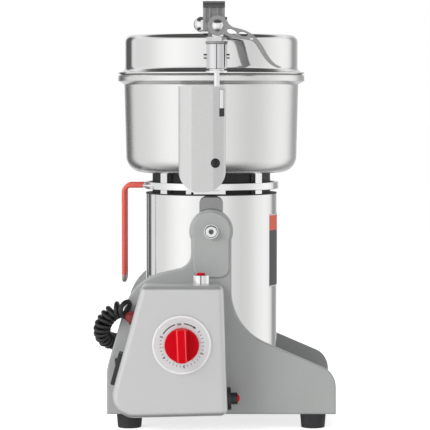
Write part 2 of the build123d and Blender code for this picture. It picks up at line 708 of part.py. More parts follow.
def handle_path():
    """Centre line of the U-shaped bar: back from the ring, down, across and up again."""
    top = CAP_TOP + RING_GAP + RING_HEIGHT / 2
    start = -((RING_RADIUS**2 - HANDLE_HALF**2) ** 0.5) + RING_WALL
    near, far = -HANDLE_HALF, HANDLE_HALF
    corners = [
        (start, near, top),
        (HANDLE_X, near, top),
        (HANDLE_X, near, HANDLE_LOW_Z),
        (HANDLE_X, far, HANDLE_LOW_Z),
        (HANDLE_X, far, top),
        (start, far, top),
    ]
    return FilletPolyline(*corners, radius=HANDLE_BEND)


def handle_bar():
    path = handle_path()
    return sweep(Plane(path @ 0, z_dir=path % 0) * Circle(HANDLE_ROD_RADIUS), path=path)


def handle_sleeve():
    """Red sleeve over the whole bar outside the ring."""
    path = handle_path()
    skin = sweep(Plane(path @ 0, z_dir=path % 0) * Circle(HANDLE_SLEEVE_RADIUS), path=path)
    core = sweep(Plane(path @ 0, z_dir=path % 0) * Circle(HANDLE_ROD_RADIUS), path=path)
    tube = skin - core
    low = HANDLE_LOW_Z - HANDLE_SLEEVE_RADIUS - PAST
    keep = block(HANDLE_X - 10, -RING_RADIUS - 1, -60, 60, low, BOWL_LOW)
    return tube & keep


def info_label():
    """Blank label plate, curved round the front of the motor tube."""
    inner = MOTOR_RADIUS + 0.05
    return sector(inner, inner + LABEL_THICKNESS, LABEL_HALF_ANGLE, LABEL_LOW, LABEL_HIGH)


# Grinding bowl


def grinding_bowl():
    """Deep bowl with a rounded bottom corner and a thick rolled rim."""
    rim_low = BOWL_HIGH - RIM_HEIGHT
    section = make_face(
        Polyline(
            (0, BOWL_LOW),
            (BOWL_BOTTOM_RADIUS, BOWL_LOW),
            (BOWL_TOP_RADIUS, rim_low - 4),
            (BOWL_TOP_RADIUS, rim_low),
            (RIM_RADIUS, rim_low + 4),
            (RIM_RADIUS, BOWL_HIGH),
            (BOWL_INNER + BOWL_TAPER, BOWL_HIGH),
            (BOWL_INNER, BOWL_LOW + BOWL_FLOOR),
            (0, BOWL_LOW + BOWL_FLOOR),
            close=True,
        )
    )
    section = rounded(section, (BOWL_BOTTOM_RADIUS, BOWL_LOW), BOWL_CORNER)
    section = rounded(section, (BOWL_INNER, BOWL_LOW + BOWL_FLOOR), BOWL_CORNER - BOWL_WALL)
    section = rounded(section, (RIM_RADIUS, BOWL_HIGH), RIM_EDGE)
    section = rounded(section, (BOWL_TOP_RADIUS, rim_low), 2)
    bowl = revolve(Plane.XZ * section, Axis.Z)
    bowl -= disc(BOWL_LOW - 1, BOWL_LOW + BOWL_FLOOR + 1, SHAFT_SEAL_RADIUS)
    stud_z = HOUSING_LOW + HOUSING_SCREW_UP
    stud = peg_y(HOUSING_SCREW_X, stud_z, LOCK_Y + 9, -BOWL_INNER - 1, 6)
    bowl += stud
    for x, y in bowl_screw_places():
        bowl -= disc(BOWL_LOW - 1, BOWL_LOW + BOWL_FLOOR + 1, 2.2, x, y)
    return bowl - peg_y(HOUSING_SCREW_X, stud_z, LOCK_Y, LOCK_Y + 9 + 8, 2)


def shaft_seal():
    """Lip seal in the bowl's floor round the shaft."""
    return ring(BOWL_LOW, BOWL_LOW + BOWL_FLOOR, SHAFT_RADIUS + RUN_FIT, SHAFT_SEAL_RADIUS)


def bowl_screw_places():
    reach = NECK_RADIUS + 4.5
    return [(reach * cos(radians(a)), reach * sin(radians(a))) for a in (45, 135, 225, 315)]


def bowl_screw(x, y):
    """Low dome-head screw from inside the bowl into a ring column."""
    seat = BOWL_LOW + BOWL_FLOOR
    head = fillet(disc(seat, seat + 2.5, 4.5, x, y).edges().sort_by(Axis.Z)[-1], 1.8)
    return head + disc(BOWL_LOW, seat, 2.1, x, y)


# Blades


def blade(low, half_span, sweep_back):
    """Flat bar with ground, swept-back ends."""
    tip = BLADE_WIDTH / 2
    outline = make_face(
        Polyline(
            (-half_span, -tip + sweep_back),
            (-half_span + 30, -tip),
            (half_span - 20, -tip),
            (half_span, tip - sweep_back),
            (half_span - 30, tip),
            (-half_span + 20, tip),
            close=True,
        )
    )
    bar = Pos(0, 0, low) * extrude(outline, BLADE_THICKNESS)
    return bar - disc(low - 1, low + BLADE_THICKNESS + 1, SHAFT_RADIUS)


def blade_stack():
    """Heights of the pieces on the shaft above the bowl's floor."""
    lower = FIRST_SPACER_LOW + LOWER_SPACER
    second = lower + BLADE_THICKNESS
    upper = second + UPPER_SPACER
    return lower, second, upper


def blade_nut():
    """Domed nut on the shaft's end."""
    low = BLADE_NUT_LOW
    hex_top = low + BLADE_NUT_HEX
    nut = hex_prism(low, hex_top, BLADE_NUT_WIDTH) + disc(hex_top, low + BLADE_NUT_HEIGHT, BLADE_NUT_DOME)
    nut = fillet(nut.edges().sort_by(Axis.Z)[-1], 3)
    return nut - disc(low - 1, low + BLADE_NUT_HEIGHT - 4, SHAFT_RADIUS)


# Lid


def lid_shell():
    """Flat-topped lid that flares out to the flange."""
    inner = LID_RADIUS - LID_WALL
    section = make_face(
        Polyline(
            (0, LID_HIGH - LID_WALL),
            (inner, LID_HIGH - LID_WALL),
            (inner, LID_LOW),
            (RIM_RADIUS, LID_LOW),
            (RIM_RADIUS, LID_LOW + LID_FLANGE),
            (LID_RADIUS, LID_LOW + LID_FLANGE),
            (LID_RADIUS, LID_HIGH),
            (0, LID_HIGH),
            close=True,
        )
    )
    flare = min(LID_FLARE, RIM_RADIUS - LID_RADIUS - 1)
    section = rounded(section, (LID_RADIUS, LID_LOW + LID_FLANGE), flare)
    section = rounded(section, (LID_RADIUS, LID_HIGH), LID_CORNER)
    section = rounded(section, (inner, LID_HIGH - LID_WALL), LID_CORNER - LID_WALL + 0.5)
    section = rounded(section, (RIM_RADIUS, LID_LOW + LID_FLANGE), 0.8)
    shell = revolve(Plane.XZ * section, Axis.Z)
    return shell - gasket_ring(GASKET_HEIGHT - LID_LIFT, 0.1)


def gasket_ring(height, clearance):
    middle = (BOWL_TOP_RADIUS + RIM_RADIUS) / 2 - GASKET_SHIFT
    half = GASKET_WIDTH / 2 + clearance
    return ring(LID_LOW - LID_LIFT, LID_LOW + height + clearance, middle - half, middle + half)


def lid_gasket():
    return gasket_ring(GASKET_HEIGHT - LID_LIFT, 0)


def lid_pin_y():
    return LOCK_Y + LID_PIN_BEHIND


def lid_bracket():
    """Folded strap on the lid with two ears for the lid pin."""
    y = lid_pin_y()
    left = LID_ARM_MIDDLE_X - LID_ARM_HALF - MOVE_GAP / 2 - EAR_THICKNESS
    right = LID_ARM_MIDDLE_X + LID_ARM_HALF + MOVE_GAP / 2 + EAR_THICKNESS
    strap = block(left, right, y - 14, y + 14, LID_HIGH, LID_HIGH + EAR_THICKNESS)
    ear_outline = Pos(0, EAR_HEIGHT / 2) * RectangleRounded(24, EAR_HEIGHT, 6)
    for x in (left, right - EAR_THICKNESS):
        ear = Plane.YZ.offset(x) * Pos(y, LID_HIGH) * ear_outline
        strap += extrude(ear, EAR_THICKNESS)
    strap += block(left, right, y - 12, y + 12, LID_HIGH, LID_HIGH + EAR_THICKNESS)
    return strap - peg_x(y, LID_HIGH + LID_PIN_UP, left - 1, right + 1, LID_PIN_RADIUS + RUN_FIT)


def lid_pin():
    """Cross pin of the lid arm, with a domed cap on one end and a low rivet head on the other."""
    y, z = lid_pin_y(), LID_HIGH + LID_PIN_UP
    reach = LID_ARM_HALF + MOVE_GAP / 2 + EAR_THICKNESS
    pin = peg_x(y, z, LID_ARM_MIDDLE_X - reach, LID_ARM_MIDDLE_X + reach, LID_PIN_RADIUS)
    cap = dome(LID_PIN_CAP_RADIUS, LID_PIN_CAP_HEIGHT)
    rivet = dome(LID_PIN_RIVET_RADIUS, LID_PIN_RIVET_HEIGHT)
    for side, end in ((-1, cap), (1, rivet)):
        foot_x = LID_ARM_MIDDLE_X + side * reach
        pin += Plane((foot_x, y, z), z_dir=(side, 0, 0)) * end
    return pin


def dome(radius, height):
    """Shallow domed cap standing on a plane's origin."""
    ball = (radius**2 + height**2) / (2 * height)
    return Pos(0, 0, height - ball) * Sphere(ball) & Pos(0, 0, height / 2) * Cylinder(radius, height)


def lid_arm():
    """Casting from the ring round the lock rod, up behind the rod head and over the lid."""
    y, top = lid_pin_y(), LID_HIGH + LID_ARM_TOP
    front = LOCK_Y + LID_ARM_FRONT
    lid_side = -LID_RADIUS - 1.2
    under = LID_HIGH + EAR_THICKNESS + 0.5
    section = make_face(
        Polyline(
            (front, SLEEVE_HIGH),
            (lid_side, SLEEVE_HIGH),
            (lid_side, under),
            (y + 12, under),
            (y + 12, LID_HIGH + 16),
            (y - 4, top),
            (front, top),
            close=True,
        )
    )
    section = rounded(section, (y - 4, top), 18)
    section = rounded(section, (front, top), 4)
    section = rounded(section, (y + 12, LID_HIGH + 16), 6)
    left = LID_ARM_MIDDLE_X - LID_ARM_HALF
    arm = extrude(Plane.YZ.offset(left) * section, 2 * LID_ARM_HALF)
    pocket = block(left + 3, left + 2 * LID_ARM_HALF - 3, front - 1, front + 4, LID_HIGH + 12, top - 5)
    for x in (LID_ARM_MIDDLE_X - 5, LID_ARM_MIDDLE_X + 4):
        pocket -= block(x - 0.8, x + 0.8, front - 1, front + 5, LID_HIGH, top)
    arm -= pocket
    arm -= peg_x(y, LID_HIGH + LID_PIN_UP, left - 1, left + 30, LID_PIN_RADIUS + RUN_FIT)
    arm += disc(SLEEVE_HIGH, SLEEVE_HIGH + ARM_RING, COLLAR_RADIUS, LOCK_X, LOCK_Y)
    ring_high = SLEEVE_HIGH + ARM_RING
    arm -= block(left - PAST, LOCK_X - ARM_STEM_HALF, front - PAST, lid_side, SLEEVE_HIGH - PAST, under)
    stem_half = ARM_STEM_HALF - 0.5
    arm += block(LOCK_X - stem_half, LOCK_X + stem_half, LOCK_Y, front + 1, SLEEVE_HIGH, ring_high)
    return arm - disc(SLEEVE_HIGH - 1, ring_high + 1, ROD_RADIUS + RUN_FIT, LOCK_X, LOCK_Y)


# Lock rod, sleeve and latch


def clamp_sleeve():
    """Chrome sleeve that turns on the lock rod, with a cross pin."""
    neck_high = SLEEVE_LOW + SLEEVE_NECK
    sleeve = disc(SLEEVE_LOW, neck_high, SLEEVE_RADIUS - 3, LOCK_X, LOCK_Y)
    barrel = disc(neck_high, SLEEVE_HIGH, SLEEVE_RADIUS, LOCK_X, LOCK_Y)
    sleeve += fillet(barrel.edges().filter_by(GeomType.CIRCLE), 0.8)
    middle = (neck_high + SLEEVE_HIGH) / 2
    sleeve += peg_x(LOCK_Y, middle, LOCK_X - SLEEVE_RADIUS - 3, LOCK_X + SLEEVE_RADIUS + 3, 3)
    return sleeve - disc(SLEEVE_LOW - 1, SLEEVE_HIGH + 1, ROD_RADIUS + RUN_FIT, LOCK_X, LOCK_Y)


def clamp_nut():
    nut = hex_prism(NUT_LOW, NUT_HIGH, NUT_WIDTH, LOCK_X, LOCK_Y)
    return nut - disc(NUT_LOW - 1, NUT_HIGH + 1, ROD_RADIUS + RUN_FIT, LOCK_X, LOCK_Y)


def lock_rod():
    """Rod with a collar under the sleeve and a flat head for the latch pin."""
    rod = disc(HOUSING_LOW + ROD_END, HUB_Z - 8, ROD_RADIUS, LOCK_X, LOCK_Y)
    collar_high = SLEEVE_LOW - 0.3
    rod += disc(collar_high - COLLAR_HEIGHT, collar_high, COLLAR_RADIUS, LOCK_X, LOCK_Y)
    half = ROD_HEAD_WIDTH / 2
    head = block(HUB_X - 6.5, HUB_X + 6.5, LOCK_Y - half, LOCK_Y + half, NUT_HIGH + MOVE_GAP, HUB_Z)
    head += peg_y(HUB_X, HUB_Z, LOCK_Y - half, LOCK_Y + half, 6.5)
    bore = LATCH_PIN_RADIUS + RUN_FIT
    return rod + head - peg_y(HUB_X, HUB_Z, LOCK_Y - half - 1, LOCK_Y + half + 1, bore)


def guide_slider():
    """Black slider on the rod. Its nose runs in the housing's slot."""
    low, high = SLIDER_LOW, SLIDER_LOW + SLIDER_HEIGHT
    slider = disc(low, high, SLIDER_RADIUS, LOCK_X, LOCK_Y)
    half = SLOT_WIDTH / 2 - 0.3
    nose_x = slot_x()
    nose = block(nose_x - half, nose_x + half, HOUSING_FRONT_Y + 6, LOCK_Y - 0.5, low, high)
    return slider + nose - disc(low - 1, high + 1, ROD_RADIUS, LOCK_X, LOCK_Y)


def slot_x():
    return HOUSING_RIGHT - 4.5


def lift_spring():
    """Compression spring round the rod, under the slider."""
    height = SPRING_LENGTH - 2 * SPRING_WIRE - 0.2
    path = Helix(pitch=height / SPRING_TURNS, height=height, radius=SPRING_RADIUS)
    wire = sweep(Plane(path @ 0, z_dir=path % 0) * Circle(SPRING_WIRE), path=path)
    return Pos(LOCK_X, LOCK_Y, SPRING_LOW + SPRING_WIRE + 0.1) * wire


def lever_outline():
    """Side view of the latch lever: round hub, broad shoulder with holes and a thin curved tail."""
    upper = [(6.5, 9.5), (10.3, 5), (16.5, -1), (24, -3.3), (38, -8.8), (51, -22), (64, -42), (74.5, -48)]
    lower = [(72, -49), (60, -43), (49, -28.5), (41.5, -18.5), (27, -15), (9, -11), (0, -6)]
    tail = Spline(*upper)
    belly = Spline(*lower)
    edges = [tail, Line(upper[-1], lower[0]), belly, Line(lower[-1], upper[0])]
    return make_face(edges) + Circle(HUB_RADIUS)


def latch_lever():
    """Cast lever whose fork straddles the rod head."""
    near = LOCK_Y - LEVER_WIDTH / 2
    outline = lever_outline()
    outline -= Pos(16.3, -6.9) * Rot(0, 0, -20) * Ellipse(6.1, 3)
    outline -= Pos(29.8, -9.8) * Rot(0, 0, -12) * Ellipse(5.3, 2.8)
    outline -= Pos(39.6, -14.7) * Circle(2.1)
    lever = slab(Pos(HUB_X, HUB_Z) * outline, near, LEVER_WIDTH)
    half = ROD_HEAD_WIDTH / 2 + MOVE_GAP
    slot = peg_y(HUB_X, HUB_Z, LOCK_Y - half, LOCK_Y + half, HUB_RADIUS + 2)
    slot += block(HUB_X - 40, HUB_X, LOCK_Y - half, LOCK_Y + half, HUB_Z - 20, HUB_Z + 20)
    lever -= slot
    return lever - peg_y(HUB_X, HUB_Z, near - 1, near + LEVER_WIDTH + 1, LATCH_PIN_RADIUS + RUN_FIT)


def latch_pin():
    """Lever pin with domed caps on both ends."""
    reach = LEVER_WIDTH / 2 + 0.3
    pin = peg_y(HUB_X, HUB_Z, LOCK_Y - reach, LOCK_Y + reach, LATCH_PIN_RADIUS)
    for side in (-1, 1):
        foot_y = LOCK_Y + side * reach
        height = 4 if side < 0 else 1.5
        pin += Plane((HUB_X, foot_y, HUB_Z), z_dir=(0, side, 0)) * dome(LATCH_CAP_RADIUS, height)
    return pin


# Lock housing


def housing_section(shrink):
    """Plan view of the housing: flat back, faceted front."""
    left, right = HOUSING_LEFT + shrink, HOUSING_RIGHT - shrink
    front, back = HOUSING_FRONT_Y + shrink, HOUSING_BACK_Y + 8
    corners = [
        (left, back),
        (left, front + FACET_DEPTH),
        (left + FACET_WIDTH, front),
        (right - FACET_WIDTH, front),
        (right, front + FACET_DEPTH),
        (right, back),
    ]
    round_off = 6 - shrink
    radii = [0, round_off, round_off, round_off, round_off, 0]
    return make_face(FilletPolyline(*corners, radius=radii, close=True))


def housing_side(shrink):
    """Front view of the housing: straight sides and a round chin."""
    width = HOUSING_RIGHT - HOUSING_LEFT - 2 * shrink
    middle = (HOUSING_LEFT + HOUSING_RIGHT) / 2
    low, high = HOUSING_LOW + shrink, HOUSING_HIGH - shrink
    box = Pos(middle, (low + high) / 2) * Rectangle(width, high - low)
    chin = min(HOUSING_CHIN, width / 2 - 0.5)
    return fillet(box.vertices().sort_by(Axis.Y)[:2], chin)


def housing_solid(shrink):
    """The housing's outer shape, drawn in by a wall on every side but the bowl's."""
    height = HOUSING_HEIGHT - 2 * shrink
    body = Pos(0, 0, HOUSING_LOW + shrink) * extrude(housing_section(shrink), height)
    return body & slab(housing_side(shrink), HOUSING_FRONT_Y - 5, HOUSING_DEPTH + 60)


def lock_housing():
    """Die-cast housing on the bowl's side: guides the rod and holds spring and switch."""
    outer = housing_solid(0)
    shell = outer - housing_solid(HOUSING_WALL)
    screw_z = HOUSING_LOW + HOUSING_SCREW_UP
    ribs = disc(HOUSING_LOW + ROD_END - 2, SPRING_LOW, 9, LOCK_X, LOCK_Y)
    ribs += peg_y(HOUSING_SCREW_X, screw_z, HOUSING_FRONT_Y, HOUSING_BACK_Y + 9, 8)
    shell += ribs & outer
    shell -= disc(HOUSING_LOW + ROD_END - 1, HOUSING_HIGH + 1, ROD_RADIUS + RUN_FIT, LOCK_X, LOCK_Y)
    slot_low = SLOT_HIGH - SLOT_LENGTH
    half = SLOT_WIDTH / 2
    shell -= block(slot_x() - half, slot_x() + half, HOUSING_FRONT_Y - 5, LOCK_Y, slot_low, SLOT_HIGH)
    shell -= disc(HOUSING_LOW - 1, HOUSING_HIGH + 1, BOWL_TOP_RADIUS + SEAT_GAP)
    shell -= peg_y(HOUSING_SCREW_X, screw_z, HOUSING_FRONT_Y - 5, HOUSING_BACK_Y + 9, 2.2)
    shell -= peg_y(HOUSING_SCREW_X, screw_z, LOCK_Y + 8.8, HOUSING_BACK_Y + 9, 6.3)
    return shell


def housing_screw():
    """Black cross-recess screw through the housing into the bowl's stud."""
    z = HOUSING_LOW + HOUSING_SCREW_UP
    seat = Plane((HOUSING_SCREW_X, HOUSING_FRONT_Y, z), z_dir=(0, -1, 0))
    head = seat * dome(HOUSING_SCREW_RADIUS, 2.2)
    for size in ((6, 1.2), (1.2, 6)):
        head -= Pos(HOUSING_SCREW_X, HOUSING_FRONT_Y - 2, z) * Box(size[0], 2.4, size[1])
    return head + peg_y(HOUSING_SCREW_X, z, HOUSING_FRONT_Y, LOCK_Y + 9 + 6, 1.9)


def lid_switch():
    """Safety switch beside the rod, pressed by the slider's flank."""
    low = SLIDER_LOW - 4
    right = (HOUSING_LEFT + HOUSING_RIGHT) / 2 + SWITCH_WIDTH / 2 - 1
    front = HOUSING_FRONT_Y + HOUSING_WALL
    body = block(right - SWITCH_WIDTH, right, front, front + SWITCH_DEPTH, low, low + SWITCH_HEIGHT)
    plunger_end = LOCK_X - SLIDER_RADIUS - 0.4
    return body + block(right, plunger_end, LOCK_Y - 2, LOCK_Y + 1, low + 5, low + 9)


# Control box


def box_outline(shrink=0):
    """Side view of the control box: sloping rear wall and a large heel radius."""
    corners = [
        (BOX_REAR_TOP_X, BOX_TOP_Z),
        (BOX_FRONT_TOP_X, BOX_TOP_Z),
        (BOX_FRONT_BOTTOM_X, BOX_BOTTOM_Z + BOX_TOE_RISE),
        (BOX_REAR_BOTTOM_X, BOX_BOTTOM_Z),
    ]
    radii = [BOX_CORNER, BOX_CORNER, BOX_CORNER, BOX_HEEL_RADIUS]
    face = make_face(FilletPolyline(*corners, radius=radii, close=True))
    return offset(face, -shrink) if shrink else face


def rear_wall_plane(z, behind):
    """Frame on the sloping rear wall: X towards the front of the box, Y up the slope, Z outwards."""
    run = BOX_REAR_BOTTOM_X - BOX_REAR_TOP_X
    rise = BOX_BOTTOM_Z - BOX_TOP_Z
    length = hypot(run, rise)
    x = BOX_REAR_TOP_X + run * (BOX_TOP_Z - z) / -rise
    out = (rise / length, 0, -run / length)
    return Plane((x, BOX_FACE_Y + behind, z), x_dir=(0, -1, 0), z_dir=out)


def front_wall_plane(z, behind):
    """Frame on the box's front wall, Z outwards."""
    run = BOX_FRONT_BOTTOM_X - BOX_FRONT_TOP_X
    rise = BOX_TOP_Z - BOX_BOTTOM_Z - BOX_TOE_RISE
    length = hypot(run, rise)
    x = BOX_FRONT_TOP_X + run * (BOX_TOP_Z - z) / rise
    out = (rise / length, 0, run / length)
    return Plane((x, BOX_FACE_Y + behind, z), x_dir=(0, 1, 0), z_dir=out)


def button_place():
    return (BUTTON_X, BOX_FACE_Y + BUTTON_BEHIND)


def control_box_cover():
    """Pressed cover, open towards the side plate, with screw posts and control holes."""
    cover = slab(box_outline(), BOX_FACE_Y, BOX_DEPTH)
    cover = fillet(cover.faces().sort_by(Axis.Y)[0].edges(), BOX_EDGE)
    inside = slab(box_outline(BOX_WALL), BOX_FACE_Y + BOX_WALL, BOX_DEPTH)
    inside = fillet(inside.faces().sort_by(Axis.Y)[0].edges(), BOX_EDGE - BOX_WALL)
    cover -= inside
    for x, z in BOX_POSTS:
        cover += peg_y(x, z, BOX_FACE_Y + BOX_WALL - 0.5, -PLATE_OUTER_Y, BOX_POST_RADIUS)
        cover -= peg_y(x, z, -PLATE_OUTER_Y - 14, -PLATE_OUTER_Y + 1, BOX_SCREW_RADIUS)
    cover -= peg_y(DIAL_X, DIAL_Z, BOX_FACE_Y - 1, BOX_FACE_Y + BOX_WALL + 1, TIMER_NECK_RADIUS + 0.3)
    cover -= disc(BOX_TOP_Z - 5, BOX_TOP_Z + 1, BUTTON_BODY_RADIUS + HOLE_PLAY, *button_place())
    cover -= front_wall_plane(BREAKER_Z, BREAKER_BEHIND) * Cylinder(BREAKER_BODY_RADIUS + HOLE_PLAY, 10)
    width, length, _ = ROCKER_BODY
    cover -= rear_wall_plane(ROCKER_Z, ROCKER_BEHIND) * Box(width + 2 * HOLE_PLAY, length + 2 * HOLE_PLAY, 10)
    return cover - rear_wall_plane(GLAND_Z, GLAND_BEHIND) * Cylinder(GLAND_TIP_RADIUS + HOLE_PLAY, 10)


def box_screw(x, z):
    """Screw from inside the stand through the plate into a post of the box."""
    head = peg_y(x, z, -PLATE_INNER_Y, -PLATE_INNER_Y + 2.4, 3.6)
    head = fillet(head.edges().sort_by(Axis.Y)[-1], 1)
    return head + peg_y(x, z, -PLATE_OUTER_Y - 12, -PLATE_INNER_Y, BOX_SCREW_RADIUS)


def dial_plate():
    """Raised round plate that carries the timer's scale."""
    plate = peg_y(DIAL_X, DIAL_Z, DIAL_FACE_Y, BOX_FACE_Y, DIAL_RADIUS)
    plate = fillet(plate.edges().sort_by(Axis.Y)[0], 1.4)
    return plate - peg_y(DIAL_X, DIAL_Z, DIAL_FACE_Y - 1, BOX_FACE_Y + 1, TIMER_NECK_RADIUS + 0.3)


def timer_body():
    """Clockwork timer behind the box's front wall."""
    back = BOX_FACE_Y + BOX_WALL + TIMER_DEPTH
    body = peg_y(DIAL_X, DIAL_Z, BOX_FACE_Y + BOX_WALL, back, TIMER_RADIUS)
    body += peg_y(DIAL_X, DIAL_Z, DIAL_FACE_Y, BOX_FACE_Y + BOX_WALL + 1, TIMER_NECK_RADIUS)
    return body - peg_y(DIAL_X, DIAL_Z, DIAL_FACE_Y - 1, back - 8, SPINDLE_RADIUS + RUN_FIT)


def timer_spindle():
    back = BOX_FACE_Y + BOX_WALL + TIMER_DEPTH - 9
    return peg_y(DIAL_X, DIAL_Z, KNOB_BACK_Y - KNOB_BASE - 3, back, SPINDLE_RADIUS)


def timer_knob():
    """Round knob with an upright grip bar."""
    base_front = KNOB_BACK_Y - KNOB_BASE
    knob = peg_y(DIAL_X, DIAL_Z, base_front, KNOB_BACK_Y, KNOB_RADIUS)
    knob = fillet(knob.edges().sort_by(Axis.Y)[0], 1.5)
    grip = block(
        DIAL_X - KNOB_GRIP_WIDTH / 2,
        DIAL_X + KNOB_GRIP_WIDTH / 2,
        KNOB_FRONT_Y,
        base_front + 1,
        DIAL_Z - KNOB_RADIUS,
        DIAL_Z + KNOB_RADIUS,
    )
    grip &= peg_y(DIAL_X, DIAL_Z, KNOB_FRONT_Y, base_front + 1, KNOB_RADIUS - 0.6)
    grip = fillet(grip.faces().sort_by(Axis.Y)[0].edges(), 1.8)
    bore = peg_y(DIAL_X, DIAL_Z, KNOB_BACK_Y - KNOB_BASE - 3, KNOB_BACK_Y + 1, SPINDLE_RADIUS)
    return knob + grip - bore


def button_collar():
    """Chrome collar and body of the push button on the box's top."""
    collar = disc(BOX_TOP_Z, BOX_TOP_Z + BUTTON_COLLAR_HEIGHT, BUTTON_COLLAR_RADIUS, *button_place())
    collar = fillet(collar.edges().sort_by(Axis.Z)[-1], 0.8)
    collar += disc(BOX_TOP_Z - BUTTON_BODY_DEPTH, BOX_TOP_Z, BUTTON_BODY_RADIUS, *button_place())
    well_low = BOX_TOP_Z - 6
    return collar - disc(well_low, BOX_TOP_Z + 30, BUTTON_CAP_RADIUS + 0.3, *button_place())


def button_cap():
    """Red cap that presses down into the collar."""
    low = BOX_TOP_Z - 6 + BUTTON_TRAVEL + MOVE_GAP
    high = BOX_TOP_Z + BUTTON_COLLAR_HEIGHT + BUTTON_CAP_PROUD
    cap = disc(low, high, BUTTON_CAP_RADIUS, *button_place())
    return fillet(cap.edges().sort_by(Axis.Z)[-1], 1.2)


def breaker_body():
    """Resettable breaker: flange and boss outside the front wall, body inside."""
    flange = Pos(0, 0, BREAKER_FLANGE / 2) * Cylinder(BREAKER_FLANGE_RADIUS, BREAKER_FLANGE)
    flange = fillet(flange.edges().sort_by(Axis.Z)[-1], 0.8)
    boss_top = BREAKER_FLANGE + BREAKER_BOSS
    breaker = flange + Pos(0, 0, boss_top / 2) * Cylinder(BREAKER_BOSS_RADIUS, boss_top)
    breaker += Pos(0, 0, -BREAKER_BODY_DEPTH / 2) * Cylinder(BREAKER_BODY_RADIUS, BREAKER_BODY_DEPTH)
    breaker -= Pos(0, 0, boss_top / 2 + 1) * Cylinder(RESET_RADIUS + 0.3, boss_top)
    return front_wall_plane(BREAKER_Z, BREAKER_BEHIND) * breaker


def reset_button():
    """Domed red cap of the breaker."""
    boss_top = BREAKER_FLANGE + BREAKER_BOSS
    low = 1 + RESET_TRAVEL + MOVE_GAP
    stem = Pos(0, 0, (low + boss_top) / 2) * Cylinder(RESET_RADIUS, boss_top - low)
    cap = Pos(0, 0, boss_top) * dome(RESET_RADIUS, RESET_PROUD)
    return front_wall_plane(BREAKER_Z, BREAKER_BEHIND) * (stem + cap)


def rocker_frame():
    """Bezel and body of the mains switch."""
    width, length, proud = ROCKER_BEZEL
    bezel = Pos(0, 0, proud / 2) * Box(width, length, proud)
    bezel = fillet(bezel.edges().filter_by(Axis.Z), 2)
    bezel = fillet(bezel.faces().sort_by(Axis.Z)[-1].edges(), 1)
    body_width, body_length, depth = ROCKER_BODY
    frame = bezel + Pos(0, 0, -depth / 2) * Box(body_width, body_length, depth)
    reach = hypot(ROCKER_HALF_LENGTH, ROCKER_PROUD) + 0.5
    well = Pos(0, 0, proud - ROCKER_POCKET / 2 - 2)
    frame -= well * Box(2 * ROCKER_HALF_WIDTH + 0.8, 2 * reach, ROCKER_POCKET + 4.1)
    return rear_wall_plane(ROCKER_Z, ROCKER_BEHIND) * frame


def power_rocker():
    """Black rocker with its lower end pressed in."""
    half = ROCKER_HALF_LENGTH
    top = [(-half, ROCKER_PROUD), (0, ROCKER_DIP), (half, ROCKER_PROUD)]
    outline = make_face(Polyline((-half, -1), *top, (half, -1), (0, -3), close=True))
    bar = extrude(Plane.YZ.offset(-ROCKER_HALF_WIDTH) * outline, 2 * ROCKER_HALF_WIDTH)
    return rear_wall_plane(ROCKER_Z, ROCKER_BEHIND) * Rot(ROCKER_TILT, 0, 0) * bar


def gland(bore):
    """Cord gland on a wall, Z outwards: flange, nose and a stem through the wall."""
    stem = Pos(0, 0, -4) * Cylinder(GLAND_TIP_RADIUS, 8)
    flange = Pos(0, 0, GLAND_FLANGE / 2) * Cylinder(GLAND_FLANGE_RADIUS, GLAND_FLANGE)
    nose = Cone(GLAND_FLANGE_RADIUS - 1.5, GLAND_TIP_RADIUS, GLAND_NOSE)
    nose = Pos(0, 0, GLAND_FLANGE + GLAND_NOSE / 2) * nose
    return stem + flange + nose - Cylinder(bore, 60)


def box_cord_gland():
    return rear_wall_plane(GLAND_Z, GLAND_BEHIND) * gland(CORD_RADIUS + 0.1)


def motor_cord_gland():
    return gland_plane_motor() * Pos(0, 0, 0.05) * gland(CORD_RADIUS + 0.1)


def mains_cord_gland():
    """Gland for the mains cord in the pan's rear wall."""
    wall = BASE_REAR_X + PAN_INSET
    body = peg_x(PAN_GLAND_Y, MAINS_GLAND_Z, wall, wall + SHEET, MAINS_GLAND_RADIUS)
    body += peg_x(PAN_GLAND_Y, MAINS_GLAND_Z, wall - 3, wall, MAINS_GLAND_RADIUS + 2.5)
    body += peg_x(PAN_GLAND_Y, MAINS_GLAND_Z, wall + SHEET, wall + SHEET + 4, MAINS_GLAND_RADIUS + 2)
    return body - peg_x(PAN_GLAND_Y, MAINS_GLAND_Z, wall - 9, wall + 20, MAINS_CORD_RADIUS)


# Curly lead


def curly_points():
    """Route of the curly lead from the box's gland round the plate's rear edge to the motor."""
    start = rear_wall_plane(GLAND_Z, GLAND_BEHIND).offset(GLAND_FLANGE + GLAND_NOSE)
    end = gland_plane_motor().offset(GLAND_FLANGE + GLAND_NOSE + 0.05)
    return [
        start.origin,
        start.origin + start.z_dir * BOX_END_STRAIGHT,
        Vector(-120, -115.5, 136),
        Vector(-128, -111, 128.5),
        Vector(-131.5, -101.5, 119),
        Vector(-130, -88.5, 110),
        Vector(-121, -77.5, 104),
        Vector(-104.5, -66.5, 100),
        end.origin + end.z_dir * MOTOR_END_STRAIGHT,
        end.origin,
    ]


def bend_radii(points):
    """Each bend takes 0.45 of its shorter run."""
    radii = []
    for before, point, after in zip(points, points[1:], points[2:]):
        run_in, run_out = point - before, after - point
        turn = radians(run_in.get_angle(run_out))
        radii.append(0.45 * min(run_in.length, run_out.length) / tan(turn / 2))
    return radii


